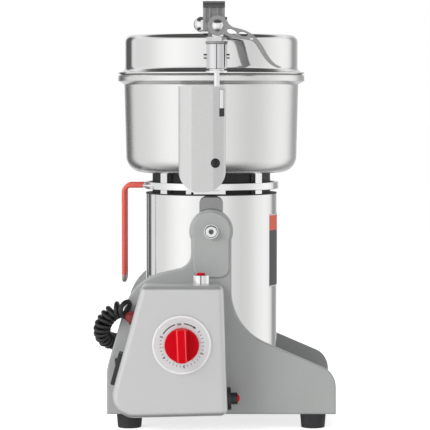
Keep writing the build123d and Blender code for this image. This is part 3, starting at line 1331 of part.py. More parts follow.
def curly_cord():
    """The coil as one round tube of its outer size."""
    points = curly_points()
    radii = bend_radii(points)
    path = FilletPolyline(*points, radius=radii)
    tube = sweep(Plane(path @ 0, z_dir=path % 0) * Circle(CURL_RADIUS), path=path)
    straight = pi * CURL_RADIUS**2 * path.length
    print("curly lead bend radii:", [round(r, 1) for r in radii])
    print("curly lead length:", round(path.length, 1))
    print("tube volume over section times length:", round(tube.volume / straight, 4))
    return tube


def write(name, pieces):
    """Write one node, moved so that the origin is under the middle of the mill."""
    pieces = pieces if isinstance(pieces, list) else [pieces]
    solids = [solid for piece in pieces for solid in piece.solids()]
    moved = [Pos(-MIDDLE_X, -MIDDLE_Y, 0) * solid for solid in solids]
    export_step(moved[0] if len(moved) == 1 else Compound(moved), f"parts/{name}.step")


def main():
    os.makedirs("parts", exist_ok=True)
    plate = side_plate()
    lower, second, upper = blade_stack()
    nodes = {
        "near_side_plate": near_side_plate(),
        "far_side_plate": mirror(plate, Plane.XZ),
        "base_pan": base_pan(),
        "rubber_feet": [foot(x, y) for x, y in foot_places()],
        "foot_screws": [foot_screw(x, y) for x, y in foot_places()],
        "pivot_bushes": both_sides(pivot_bush()),
        "pivot_bolts": both_sides(pivot_bolt()) + both_sides(pivot_washer()),
        "trunnion_blocks": both_sides(trunnion_block()),
        "motor_tube": motor_tube(),
        "motor_bottom_cap": motor_bottom_cap(),
        "motor_top_cap": motor_top_cap(),
        "vent_ring": vent_ring(),
        "motor_shaft": shaft(),
        "motor_bearings": [bearing(MOTOR_LOW + CAP_PLATE), bearing(TOP_BEARING_LOW)],
        "stator": stator(),
        "field_coils": [field_coil(0), field_coil(180)],
        "armature": armature(),
        "commutator": commutator(),
        "cooling_fan": cooling_fan(),
        "brush_holders": [brush_holder(90), brush_holder(270)],
        "carbon_brushes": [carbon_brush(90), carbon_brush(270)],
        "handle_bar": handle_bar(),
        "handle_sleeves": handle_sleeve(),
        "info_label": info_label(),
        "motor_cord_gland": motor_cord_gland(),
        "grinding_bowl": grinding_bowl(),
        "shaft_seal": shaft_seal(),
        "bowl_screws": [bowl_screw(x, y) for x, y in bowl_screw_places()],
        "blade_spacers": [
            ring(FIRST_SPACER_LOW, lower, SHAFT_RADIUS, SPACER_RADIUS),
            ring(second, upper, SHAFT_RADIUS, SPACER_RADIUS),
        ],
        "cutting_blades": [
            blade(lower, BOWL_INNER - LOWER_BLADE_GAP, 6),
            Rot(0, 0, 90) * blade(upper, BOWL_INNER - UPPER_BLADE_GAP, 8),
        ],
        "blade_nut": blade_nut(),
        "lid_shell": lid_shell(),
        "lid_gasket": lid_gasket(),
        "lid_bracket": lid_bracket(),
        "lid_pin": lid_pin(),
        "lid_arm": lid_arm(),
        "clamp_sleeve": [clamp_sleeve(), clamp_nut()],
        "lock_rod": lock_rod(),
        "guide_slider": guide_slider(),
        "lift_spring": lift_spring(),
        "latch_lever": latch_lever(),
        "latch_pin": latch_pin(),
        "lock_housing": lock_housing(),
        "housing_screw": housing_screw(),
        "lid_switch": lid_switch(),
        "control_box_cover": control_box_cover(),
        "box_screws": [box_screw(x, z) for x, z in BOX_POSTS],
        "dial_plate": dial_plate(),
        "timer_body": timer_body(),
        "timer_spindle": timer_spindle(),
        "timer_knob": timer_knob(),
        "button_collar": button_collar(),
        "button_cap": button_cap(),
        "breaker_body": breaker_body(),
        "reset_button": reset_button(),
        "rocker_frame": rocker_frame(),
        "power_rocker": power_rocker(),
        "box_cord_gland": box_cord_gland(),
        "mains_cord_gland": mains_cord_gland(),
        "curly_cord": curly_cord(),
    }
    for name, pieces in nodes.items():
        write(name, pieces)


main()
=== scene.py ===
"""Bench grain mill: finishes, curly lead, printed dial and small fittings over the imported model."""
import math

import bpy
from mathutils import Matrix, Vector


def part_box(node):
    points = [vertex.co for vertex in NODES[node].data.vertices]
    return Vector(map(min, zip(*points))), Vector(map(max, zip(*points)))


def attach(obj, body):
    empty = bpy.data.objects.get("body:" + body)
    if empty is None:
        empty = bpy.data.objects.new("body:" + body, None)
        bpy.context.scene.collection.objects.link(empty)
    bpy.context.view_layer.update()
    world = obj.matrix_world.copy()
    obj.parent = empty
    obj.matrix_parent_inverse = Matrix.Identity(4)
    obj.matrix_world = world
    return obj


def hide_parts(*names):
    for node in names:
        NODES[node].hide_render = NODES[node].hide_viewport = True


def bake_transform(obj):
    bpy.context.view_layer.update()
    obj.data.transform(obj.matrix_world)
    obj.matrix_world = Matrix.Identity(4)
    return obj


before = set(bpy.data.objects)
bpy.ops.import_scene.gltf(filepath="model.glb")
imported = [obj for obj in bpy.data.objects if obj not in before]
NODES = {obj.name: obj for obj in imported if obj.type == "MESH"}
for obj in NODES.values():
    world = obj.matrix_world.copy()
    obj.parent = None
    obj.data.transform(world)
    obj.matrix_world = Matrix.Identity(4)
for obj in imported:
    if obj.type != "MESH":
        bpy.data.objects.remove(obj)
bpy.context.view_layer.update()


# Facets leave the boxes of round pieces a little short, so these are rounded to 0.1 mm.


def middle_of(node):
    """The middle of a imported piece."""
    low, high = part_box(node)
    return Vector([round(x, 4) for x in (low + high) / 2])


def front_of(node):
    """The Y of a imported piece's front."""
    return round(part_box(node)[0].y, 4)


# Camera

EYE = Vector((-0.0075, -2.718, 0.396))
LOOK_DOWN = math.radians(3.057)
LENS = 188.1  # mm
NEAREST, FURTHEST = 0.1, 60  # what the camera can see


def stand_camera():
    """Long lens, a little above the middle of the mill."""
    bpy.ops.object.select_all(action="DESELECT")
    bpy.ops.object.camera_add(location=EYE, rotation=(math.radians(90) - LOOK_DOWN, 0, 0))
    camera = bpy.context.object
    camera.name = "studio_camera"
    camera.data.lens = LENS
    camera.data.clip_start = NEAREST
    camera.data.clip_end = FURTHEST
    bpy.context.scene.camera = camera


stand_camera()


# Finishes


class Signal:
    """One output of a shader tree, so that its maths can be written out as sums."""

    def __init__(self, finish, socket):
        self.finish = finish
        self.socket = socket

    def worked(self, operation, *values):
        """One Math node on these values."""
        return self.finish.node("ShaderNodeMath", {"operation": operation}, dict(enumerate(values)))

    def __add__(self, other):
        return self.worked("ADD", self, other)

    def __radd__(self, other):
        return self.worked("ADD", other, self)

    def __sub__(self, other):
        return self.worked("SUBTRACT", self, other)

    def __rsub__(self, other):
        return self.worked("SUBTRACT", other, self)

    def __mul__(self, other):
        return self.worked("MULTIPLY", self, other)

    def __rmul__(self, other):
        return self.worked("MULTIPLY", other, self)

    def __truediv__(self, other):
        return self.worked("DIVIDE", self, other)

    def __pow__(self, other):
        return self.worked("POWER", self, other)

    def above(self, level):
        """1 above the level, else 0."""
        return self.worked("GREATER_THAN", self, level)

    def below(self, level):
        """1 below the level, else 0."""
        return self.worked("LESS_THAN", self, level)

    def within(self, low, high):
        """1 between low and high, else 0."""
        return self.above(low) * self.below(high)

    def size(self):
        """The value without its sign."""
        return self.worked("ABSOLUTE", self)


class Mixer:
    """The means to build what feeds a shader."""

    def __init__(self, tree, coordinates="Object"):
        self.tree = tree
        self.place = self.node("ShaderNodeTexCoord", output=coordinates)

    def node(self, kind, settings=None, inputs=None, output=0):
        """Adds one node: its settings first, then the values or links of its sockets."""
        made = self.tree.nodes.new(kind)
        for key, value in (settings or {}).items():
            if key == "stops":
                self.set_stops(made.color_ramp, value)
            else:
                setattr(made, key, value)
        for key, value in (inputs or {}).items():
            self.plug(made.inputs[key], value)
        return Signal(self, made.outputs[output])

    def set_stops(self, ramp, stops):
        """Gives a colour ramp its (position, colour) stops."""
        while len(ramp.elements) > len(stops):
            ramp.elements.remove(ramp.elements[-1])
        while len(ramp.elements) < len(stops):
            ramp.elements.new(1)
        for element, (position, colour) in zip(ramp.elements, stops):
            element.position = position
            element.color = (*colour, 1)

    def plug(self, socket, value):
        """Links a signal to a socket, or sets the socket to a number or colour."""
        if isinstance(value, Signal):
            self.tree.links.new(value.socket, socket)
        elif hasattr(value, "__len__") and len(socket.default_value) == 4 and len(value) == 3:
            socket.default_value = (*value, 1)
        else:
            socket.default_value = value

    def mapped(self, scale=(1, 1, 1), location=(0, 0, 0)):
        """Object coordinates, moved so that location is at 0, then scaled."""
        moved = self.node("ShaderNodeMapping", inputs={
            "Vector": self.place, "Location": [-x for x in location]})
        return self.node("ShaderNodeMapping", inputs={"Vector": moved, "Scale": scale})

    def noise(self, size, detail=3, stretch=(1, 1, 1), roughness=0.5):
        """Even noise with patches about size metres across, divided by stretch along each axis."""
        where = self.mapped(stretch) if stretch != (1, 1, 1) else self.place
        return self.node("ShaderNodeTexNoise", inputs={
            "Vector": where, "Scale": 1 / size, "Detail": detail, "Roughness": roughness})

    def cells(self, size):
        """Distance to the nearest of many small cells, about size metres apart."""
        return self.node("ShaderNodeTexVoronoi", {"feature": "SMOOTH_F1"}, {
            "Vector": self.place, "Scale": 1 / size, "Smoothness": 0.5}, "Distance")

    def axis(self, index):
        """One coordinate, in metres."""
        return self.node("ShaderNodeSeparateXYZ", inputs={0: self.place}, output=index)

    def blend(self, amount, first, second):
        """A colour between two others."""
        return self.node("ShaderNodeMix", {"data_type": "RGBA"}, {0: amount, 6: first, 7: second}, 2)

    def tints(self, colour, amount, spread=0.08):
        """The colour, a little darker and lighter where amount is 0 and 1."""
        low = [max(c * (1 - spread), 0) for c in colour]
        high = [min(c * (1 + spread), 1) for c in colour]
        return self.blend(amount, low, high)

    def ramp(self, value, stops):
        """A grey level for each value, from (value, level) pairs in order."""
        greys = [(at, (grey,) * 3) for at, grey in stops]
        return self.node("ShaderNodeValToRGB", {"stops": greys}, {0: value})

    def bump(self, height, distance, strength):
        """A surface raised by height, up to distance metres."""
        return self.node("ShaderNodeBump", inputs={
            "Height": height, "Distance": distance, "Strength": strength})


class Finish(Mixer):
    """A material with one Principled shader."""

    def __init__(self, name, **fixed):
        self.material = bpy.data.materials.new(name)
        self.material.use_nodes = True
        super().__init__(self.material.node_tree)
        self.shader = self.tree.nodes["Principled BSDF"]
        for key, value in fixed.items():
            self.shader.inputs[key.replace("_", " ")].default_value = value

    def feed(self, name, value):
        """Sets or links one socket of the shader."""
        self.plug(self.shader.inputs[name], value)


def hammered(name, colour, roughness=0.42, cell=0.0013, depth=0.00012):
    """Hammer-tone enamel: fine shallow dimples with a soft gloss."""
    made = Finish(name, Coat_Roughness=0.25)
    dimples = made.cells(cell)
    cloud = made.noise(0.05, 2)
    made.feed("Base Color", made.tints(colour, dimples * 0.6 + cloud * 0.5, 0.07))
    made.feed("Roughness", roughness - 0.08 + made.noise(0.004) * 0.16)
    made.feed("Coat Weight", 0.12 + cloud * 0.1)
    made.feed("Normal", made.bump(dimples + made.noise(0.0006) * 0.4, depth, 0.6))
    return made


def silver_enamel(name, colour):
    """Silver enamel with a metallic fleck under it."""
    made = Finish(name, Coat_Roughness=0.2)
    fleck = made.noise(0.0007, 2)
    dimples = made.cells(0.001)
    made.feed("Base Color", made.tints(colour, fleck * 0.6 + dimples * 0.5, 0.05))
    made.feed("Metallic", 0.62 + fleck * 0.16)
    made.feed("Roughness", 0.29 + fleck * 0.12)
    made.feed("Coat Weight", 0.15 + made.noise(0.06, 2) * 0.1)
    made.feed("Normal", made.bump(dimples, 0.00006, 0.5))
    return made


def casting(name, colour, roughness, grain, speckle, metallic):
    """Tumbled aluminium casting: grains, a few darker pits and a soft sheen."""
    made = Finish(name)
    grains = made.noise(grain, 4)
    pits = made.cells(grain * 1.7).below(0.22)
    cloud = made.noise(0.02, 2)
    made.feed("Base Color", made.tints(colour, grains * 0.8 + cloud * 0.3 - pits * 0.35, speckle))
    made.feed("Metallic", metallic - 0.1 + cloud * 0.2)
    made.feed("Roughness", roughness - 0.08 + grains * 0.16)
    made.feed("Normal", made.bump(grains - pits * 0.3, 0.00008, 0.5))
    return made


def satin_metal(name, colour, roughness=0.3, along=(1, 1, 1), size=0.0016, depth=0.00002):
    """Metal with fine grinding lines, stretched along one direction."""
    made = Finish(name, Metallic=1.0)
    lines = made.noise(size, 4, stretch=along, roughness=0.65)
    cloud = made.noise(0.03, 2)
    made.feed("Base Color", made.tints(colour, lines * 0.8 + cloud * 0.3, 0.05))
    made.feed("Roughness", roughness - 0.07 + lines * 0.1 + cloud * 0.05)
    made.feed("Normal", made.bump(lines, depth, 0.5))
    return made


def mirror_metal(name, colour, roughness=0.06, ripple=0.00001):
    """Polished or plated metal with faint polishing haze and a slow ripple."""
    made = Finish(name, Metallic=1.0)
    haze = made.noise(0.0025, 5, stretch=(1, 1, 6), roughness=0.7)
    cloud = made.noise(0.03, 2)
    made.feed("Base Color", made.tints(colour, haze * 0.7 + cloud * 0.4, 0.025))
    made.feed("Roughness", roughness - 0.02 + haze * 0.03 + cloud * 0.03)
    made.feed("Normal", made.bump(made.noise(0.02, 1), ripple, 0.4))
    return made


def moulded(name, colour, roughness=0.4, grain=0.0006, shine=0.5):
    """Moulded plastic with spark-eroded grain."""
    made = Finish(name, Coat_Roughness=0.06, Specular_IOR_Level=shine)
    grains = made.noise(grain, 3)
    cloud = made.noise(0.012, 2)
    made.feed("Base Color", made.tints(colour, grains * 0.4 + cloud * 0.6, 0.12))
    made.feed("Roughness", roughness - 0.06 + grains * 0.08 + cloud * 0.05)
    made.feed("Coat Weight", cloud * 0.02)
    made.feed("Normal", made.bump(grains, 0.00003, 0.35))
    return made


def rubber(name, colour, roughness=0.7):
    """Rubber with dust in its pores."""
    made = Finish(name)
    pores = made.noise(0.0009, 4)
    dust = made.noise(0.008, 4) ** 3
    lighter = [c * 2.2 + 0.02 for c in colour]
    made.feed("Base Color", made.blend(dust * 0.8, colour, lighter))
    made.feed("Roughness", roughness - 0.05 + pores * 0.14)
    made.feed("Normal", made.bump(pores, 0.00005, 0.5))
    return made


def laminated(name, colour):
    """Stacked stampings: thin level lines with a little rust tint."""
    made = Finish(name, Metallic=0.8)
    layers = made.node("ShaderNodeTexWave", {"bands_direction": "Z"}, {
        "Vector": made.place, "Scale": 320, "Distortion": 0.4}, 1)
    cloud = made.noise(0.01)
    made.feed("Base Color", made.blend(layers * 0.5 + cloud * 0.3, [c * 0.55 for c in colour], colour))
    made.feed("Roughness", 0.42 + cloud * 0.15)
    made.feed("Normal", made.bump(layers, 0.0001, 0.6))
    return made


def winding(name, colour):
    """Enamelled wire laid side by side."""
    made = Finish(name, Metallic=0.85)
    wires = made.node("ShaderNodeTexWave", {"bands_direction": "DIAGONAL"}, {
        "Vector": made.place, "Scale": 260, "Distortion": 1.5, "Detail": 2}, 1)
    made.feed("Base Color", made.blend(wires, [c * 0.45 for c in colour], colour))
    made.feed("Roughness", 0.28 + made.noise(0.004) * 0.15)
    made.feed("Coat Weight", 0.4 + made.noise(0.01) * 0.3)
    made.feed("Normal", made.bump(wires, 0.0002, 0.7))
    return made


SLEEVE_END = 0.1785  # height below which the red turns grey


def vinyl_sleeve(name, colour, end_colour):
    """Soft red sleeve, greyed at its lower end."""
    made = Finish(name)
    grains = made.noise(0.0008)
    greyer_below = (made.axis(2) + made.noise(0.003) * 0.001).below(SLEEVE_END)
    made.feed("Base Color", made.blend(greyer_below, made.tints(colour, grains, 0.12), end_colour))
    made.feed("Roughness", 0.36 + grains * 0.12)
    made.feed("Coat Weight", 0.15 + made.noise(0.01, 2) * 0.1)
    made.feed("Normal", made.bump(grains, 0.00003, 0.4))
    return made


LABEL_LOW, LABEL_HIGH = (corner.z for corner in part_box("info_label"))
LABEL_SPLIT = LABEL_HIGH - 0.0195  # height between the two blocks
LABEL_BORDER = 0.0015


def blank_label(name):
    """Blank label: an orange-red block over a charcoal block, with a pale border."""
    made = Finish(name)
    height = made.axis(2)
    red = height.above(LABEL_SPLIT)
    ink = made.noise(0.0011, 3)
    block = made.blend(red, (0.05, 0.05, 0.055), (0.82, 0.11, 0.04))
    field = height.within(LABEL_LOW + LABEL_BORDER, LABEL_HIGH - LABEL_BORDER)
    made.feed("Base Color", made.blend(field * (0.96 + ink * 0.06), (0.72, 0.72, 0.72), block))
    made.feed("Roughness", 0.34 + ink * 0.1)
    made.feed("Normal", made.bump(ink, 0.00001, 0.3))
    return made


DIAL_CENTRE = middle_of("dial_plate")
DIAL_CENTRE.y = front_of("dial_plate")  # on its face


def turned_dial(name, colour):
    """Satin aluminium disc with fine rings turned round its middle."""
    made = Finish(name, Metallic=0.6)
    where = made.mapped(location=DIAL_CENTRE)
    rings = made.node("ShaderNodeTexWave", {"wave_type": "RINGS", "rings_direction": "Y"}, {
        "Vector": where, "Scale": 380, "Distortion": 0.6, "Detail": 2}, 1)
    cloud = made.noise(0.01, 2)
    made.feed("Base Color", made.tints(colour, rings * 0.5 + cloud * 0.4, 0.04))
    made.feed("Roughness", 0.34 + rings * 0.08)
    made.feed("Normal", made.bump(rings, 0.00001, 0.5))
    return made


GRIP_EDGE = 0.00475  # from the middle of the knob's grip to its edges, where a highlight is painted
GRIP_LEAN = 0.042  # how far the grip leans from upright, sideways over height
GRIP_HIGHLIGHT_DEPTH = 0.004  # depth from the front of the knob in which the painted highlight lies on its edges
HIGHLIGHT_FULL, HIGHLIGHT_FADE = 0.25, 0.85  # mm from the edge: painted highlight in full up to the first, plain from the second
TO_MM = 1000


def knob_moulding(name, colour, highlight_colour):
    """Red moulding with a painted highlight, a paler red, along the grip's two edges."""
    made = Finish(name, Specular_IOR_Level=0.05)
    across = made.axis(0) - DIAL_CENTRE.x + (made.axis(2) - DIAL_CENTRE.z) * GRIP_LEAN
    off = (across.size() - GRIP_EDGE).size() * TO_MM
    front = made.axis(1).below(front_of("timer_knob") + GRIP_HIGHLIGHT_DEPTH)
    # painted highlight: paler red along the grip's two edges, standing in for the shine on their rounded
    # corners
    edge = made.ramp(off, [(HIGHLIGHT_FULL, 1), (HIGHLIGHT_FADE, 0)]) * front
    grains = made.noise(0.0012, 3)
    cloud = made.noise(0.012, 2)
    plain = made.tints(colour, grains * 0.4 + cloud * 0.6, 0.08)
    made.feed("Base Color", made.blend(edge, plain, highlight_colour))
    made.feed("Roughness", 0.26 + grains * 0.08 + cloud * 0.05)
    made.feed("Normal", made.bump(grains, 0.00003, 0.35))
    return made


def printed_ink(name, colour):
    """Ink with a faint speckle."""
    made = Finish(name)
    speck = made.noise(0.0006, 3)
    made.feed("Base Color", made.tints(colour, speck, 0.3))
    made.feed("Roughness", 0.45 + speck * 0.15)
    made.feed("Normal", made.bump(speck, 0.00001, 0.3))
    return made


def ribbed_sheath(name, colour):
    """Flexible lead sheath: faint drag marks and a soft shine."""
    made = Finish(name, Coat_Roughness=0.3)
    drag = made.noise(0.0012, 4)
    cloud = made.noise(0.006, 2)
    made.feed("Base Color", made.tints(colour, drag * 0.6 + cloud * 0.5, 0.3))
    made.feed("Roughness", 0.28 + drag * 0.12)
    made.feed("Coat Weight", 0.25 + cloud * 0.15)
    made.feed("Normal", made.bump(drag, 0.00004, 0.4))
    return made


STEEL = (0.80, 0.80, 0.795)
ROUND_Z = (1, 1, 30)  # stretch that leaves the noise in thin level lines

FINISHES = {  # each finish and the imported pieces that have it
    "stand_enamel": (
        hammered("stand_enamel", (0.365, 0.375, 0.369)),
        ["near_side_plate", "far_side_plate", "base_pan"]),
    "box_enamel": (
        silver_enamel("box_enamel", (0.6, 0.6, 0.604)),
        ["control_box_cover"]),
    "foot_rubber": (
        rubber("foot_rubber", (0.022, 0.022, 0.024)),
        ["rubber_feet"]),
    "seal_silicone": (
        rubber("seal_silicone", (0.06, 0.06, 0.06), roughness=0.5),
        ["shaft_seal", "lid_gasket"]),
    "zinc_plate": (
        satin_metal("zinc_plate", (0.62, 0.62, 0.6), roughness=0.34),
        ["foot_screws", "motor_bearings", "lift_spring", "box_screws"]),
    "turned_brass": (
        satin_metal("turned_brass", (0.72, 0.53, 0.22), roughness=0.28),
        ["pivot_bushes", "brush_holders", "timer_spindle"]),
    "housing_satin": (
        casting("housing_satin", (0.64, 0.64, 0.637), roughness=0.3, grain=0.0008, speckle=0.05,
                metallic=0.85),
        ["lock_housing"]),
    "arm_casting": (
        casting("arm_casting", (0.3, 0.3, 0.3), roughness=0.34, grain=0.0012, speckle=0.28,
                metallic=0.7),
        ["lid_arm", "latch_lever"]),
    "trunnion_casting": (
        casting("trunnion_casting", (0.3, 0.3, 0.3), roughness=0.16, grain=0.001, speckle=0.12,
                metallic=0.95),
        ["trunnion_blocks"]),
    "tube_polish": (
        mirror_metal("tube_polish", STEEL, roughness=0.07),
        ["motor_tube"]),
    "lid_polish": (
        mirror_metal("lid_polish", STEEL, roughness=0.09),
        ["lid_shell"]),
    "black_enamel": (
        casting("black_enamel", (0.012, 0.012, 0.013), roughness=0.5, grain=0.001, speckle=0.3,
                metallic=0.0),
        ["motor_bottom_cap", "motor_top_cap", "housing_screw"]),
    "ring_chrome": (
        mirror_metal("ring_chrome", (0.86, 0.86, 0.87), roughness=0.1),
        ["vent_ring"]),
    "bright_chrome": (
        mirror_metal("bright_chrome", (0.83, 0.83, 0.84), roughness=0.05),
        ["handle_bar", "blade_nut", "lid_bracket", "lid_pin", "pivot_bolts", "lock_rod", "latch_pin",
         "button_collar"]),
    "sleeve_chrome": (
        mirror_metal("sleeve_chrome", (0.7, 0.7, 0.71), roughness=0.08),
        ["clamp_sleeve"]),
    "bowl_brushed": (
        satin_metal("bowl_brushed", (0.79, 0.79, 0.785), roughness=0.26, along=ROUND_Z, size=0.004),
        ["grinding_bowl"]),
    "ground_steel": (
        satin_metal("ground_steel", (0.66, 0.66, 0.66), roughness=0.3),
        ["motor_shaft", "bowl_screws", "blade_spacers", "cutting_blades"]),
    "core_layers": (
        laminated("core_layers", (0.24, 0.24, 0.25)),
        ["stator", "armature"]),
    "copper_wire": (
        winding("copper_wire", (0.72, 0.33, 0.18)),
        ["field_coils", "commutator"]),
    "pressed_carbon": (
        rubber("pressed_carbon", (0.03, 0.03, 0.032), roughness=0.6),
        ["carbon_brushes"]),
    "black_moulding": (
        moulded("black_moulding", (0.022, 0.022, 0.024), roughness=0.42),
        ["cooling_fan", "motor_cord_gland", "guide_slider", "lid_switch", "timer_body",
         "breaker_body", "rocker_frame", "power_rocker", "mains_cord_gland"]),
    "red_vinyl": (
        vinyl_sleeve("red_vinyl", (0.72, 0.105, 0.078), (0.42, 0.30, 0.29)),
        ["handle_sleeves"]),
    "label_print": (
        blank_label("label_print"),
        ["info_label"]),
    "dial_turned": (
        turned_dial("dial_turned", (0.68, 0.68, 0.69)),
        ["dial_plate"]),
    "red_moulding": (
        moulded("red_moulding", (0.58, 0.002, 0.01), roughness=0.3, grain=0.0012, shine=0.05),
        ["button_cap", "reset_button"]),
    "knob_red": (
        # the second colour is the painted highlight on the grip's edges
        knob_moulding("knob_red", (0.58, 0.002, 0.01), (0.86, 0.1, 0.08)),
        ["timer_knob"]),
    "gland_red": (
        moulded("gland_red", (0.2, 0.02, 0.016), roughness=0.4),
        ["box_cord_gland"]),
    "lead_sheath": (
        ribbed_sheath("lead_sheath", (0.005, 0.005, 0.006)),
        ["curly_cord"]),
    "dial_ink": (
        printed_ink("dial_ink", (0.03, 0.03, 0.033)),
        []),
    "rim_bead": (
        casting("rim_bead", (0.8, 0.8, 0.8), roughness=0.5, grain=0.0006, speckle=0.03, metallic=0.2),
        []),
    # near black: painted reflection on the lid arm's top
    "crown_painted_reflection": (
        casting("crown_painted_reflection", (0.085, 0.085, 0.085), roughness=0.4, grain=0.0012, speckle=0.3,
                metallic=0.5),
        []),
    "socket_shade": (
        casting("socket_shade", (0.16, 0.16, 0.16), roughness=0.5, grain=0.0008, speckle=0.2,
                metallic=0.4),
        []),
    "mark_white": (
        printed_ink("mark_white", (0.8, 0.8, 0.8)),
        []),
}


def dress(piece, finish):
    """Gives a piece one finish all over."""
    piece.data.materials.clear()
    piece.data.materials.append(FINISHES[finish][0].material)


def dress_frame():
    """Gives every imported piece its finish. The polished tube doesn't mirror the handle's sleeves."""
    for made, names in FINISHES.values():
        for name in names:
            for slot in NODES[name].material_slots:
                slot.material = made.material
    NODES["handle_sleeves"].visible_glossy = False


# Making new pieces


def leave_edit():
    """Back to object mode."""
    if bpy.context.object is not None and bpy.context.object.mode != "OBJECT":
        bpy.ops.object.mode_set(mode="OBJECT")


def clear_bench():
    """Nothing selected, object mode."""
    leave_edit()
    bpy.ops.object.select_all(action="DESELECT")


def take(piece):
    """Only this piece selected and active."""
    clear_bench()
    piece.select_set(True)
    bpy.context.view_layer.objects.active = piece


def settle(piece, name):
    """Names a piece and puts its place into its mesh."""
    take(piece)
    bpy.ops.object.transform_apply(location=True, rotation=True, scale=True)
    piece.name = name
    piece.data.name = name
    return piece


SMOOTH_UNDER = math.radians(35)


def start_circle(base, axis, section, sides, fill):
    """A circle round an axis through base, at the (distance, radius) of section, in edit mode."""
    clear_bench()
    distance, radius = section
    bpy.ops.mesh.primitive_circle_add(
        vertices=sides, radius=radius, fill_type=fill, location=base + axis * distance,
        rotation=axis.to_track_quat("Z", "Y").to_euler())
    bpy.ops.object.mode_set(mode="EDIT")


def draw_out(base, axis, sections):
    """Draws a circle out along its axis, as wide as each (distance, radius) says."""
    distance, radius = sections[0]
    for further, wide in sections[1:]:
        bpy.ops.mesh.extrude_region_move(TRANSFORM_OT_translate={"value": axis * (further - distance)})
        share = wide / radius
        bpy.ops.transform.resize(value=(share, share, share), center_override=base + axis * further)
        distance, radius = further, wide
    bpy.ops.mesh.select_all(action="SELECT")


def finish_turned(name):
    """Turns the faces outwards and rounds the shading off."""
    bpy.ops.mesh.normals_make_consistent(inside=False)
    piece = settle(bpy.context.object, name)
    bpy.ops.object.shade_smooth_by_angle(angle=SMOOTH_UNDER)
    return piece


def turned(name, base, axis, sections, sides):
    """A solid turned piece."""
    start_circle(base, axis, sections[0], sides, "NGON")
    draw_out(base, axis, sections)
    return finish_turned(name)


def ring(name, base, axis, sections, sides=48):
    """A turned ring, closed from its last section to its first."""
    start_circle(base, axis, sections[0], sides, "NOTHING")
    draw_out(base, axis, (*sections, sections[0]))
    bpy.ops.mesh.remove_doubles(threshold=0.000002)
    return finish_turned(name)


def bar(name, low, high, edges=0.0):
    """A straight bar between two corners, with all its edges broken."""
    clear_bench()
    low, high = Vector(low), Vector(high)
    bpy.ops.mesh.primitive_cube_add(size=1, location=(low + high) / 2)
    piece = bpy.context.object
    piece.scale = high - low
    settle(piece, name)
    if edges:
        bpy.ops.object.mode_set(mode="EDIT")
        bpy.ops.mesh.select_all(action="SELECT")
        bpy.ops.mesh.bevel(offset=edges, segments=2, affect="EDGES")
        leave_edit()
    return piece


def fit(piece, finish, body):
    """Finish, body and material slot of a new piece."""
    dress(piece, finish)
    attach(piece, body)
    return piece


# Curly lead

LEAD_ROUTE = (
    (-0.11096, -0.084, 0.13585),
    (-0.115, -0.0778, 0.1385),
    (-0.1235, -0.0732, 0.1425),
    (-0.1325, -0.0712, 0.1365),
    (-0.1395, -0.0685, 0.127),
    (-0.1425, -0.0615, 0.1165),
    (-0.1395, -0.0535, 0.107),
    (-0.1328, -0.0455, 0.1028),
    (-0.117, -0.0345, 0.0997),
    (-0.09854, -0.02208, 0.098),
    (-0.08582, -0.01413, 0.098),
)
WIRE = 0.0058
COIL = 0.0075  # from the middle of the coil to the middle of the wire
FIRST_TURN = 0.44  # how much wider the coil is where it leaves the box
FIRST_GAP = 1.1  # how much further apart its turns are there
FIRST_LIFT = Vector((0.004, -0.0035, 0.0082))  # how far its middle lies above the gland there
FIRST_RUN = 0.012  # over this length
STRAIGHT_PITCH = 0.0061  # between turns on a straight stretch
INSIDE_PITCH = 0.0046  # between turns on the inside of a bend
FIRST_TAIL = 0.0016  # length over which the wire leaves the coil's middle at the box
LAST_TAIL = 0.006  # and at the motor
FIRST_ANGLE = math.radians(40)  # where on the coil the wire starts
STEPS_PER_TURN = 36
TIGHTEST_PART = 0.002  # least radius of the coil's inner side that the pitch follows
MOST_SPREAD = 1.5  # most that a bend spreads the turns on its inside
STRAIGHT = 9.0  # radius that stands for a straight line
LEAST_STEP = 0.0011  # between two points of the wire


def route_line():
    """The route's own smooth line."""
    curve = bpy.data.curves.new("lead_route", "CURVE")
    curve.dimensions = "3D"
    curve.resolution_u = 40
    spline = curve.splines.new("NURBS")
    spline.points.add(len(LEAD_ROUTE) - 1)
    for point, place in zip(spline.points, LEAD_ROUTE):
        point.co = (*place, 1)
    spline.order_u = 3
    spline.use_endpoint_u = True
    carrier = bpy.data.objects.new("lead_route", curve)
    mesh = bpy.data.meshes.new_from_object(carrier)
    line = [v.co.copy() for v in mesh.vertices]
    bpy.data.objects.remove(carrier)
    bpy.data.curves.remove(curve)
    bpy.data.meshes.remove(mesh)
    return line


def bend_of(line, i, reach=12):
    """Radius of the line's bend near point i."""
    a, b, c = line[max(i - reach, 0)], line[i], line[min(i + reach, len(line) - 1)]
    area = (b - a).cross(c - a).length / 2
    if area < 1e-10:
        return STRAIGHT
    return (b - a).length * (c - b).length * (c - a).length / (4 * area)


def pitch_at(line, i, start):
    """Distance between turns near point i, wider at the start and on the inside of a bend."""
    radius = bend_of(line, i)
    inner = radius / max(radius - COIL, TIGHTEST_PART)
    return max(STRAIGHT_PITCH, INSIDE_PITCH * min(inner, MOST_SPREAD)) * (1 + FIRST_GAP * start)


def eased(share):
    """From 0 to 1 with a soft start and a soft end."""
    return share * share * (3 - 2 * share)


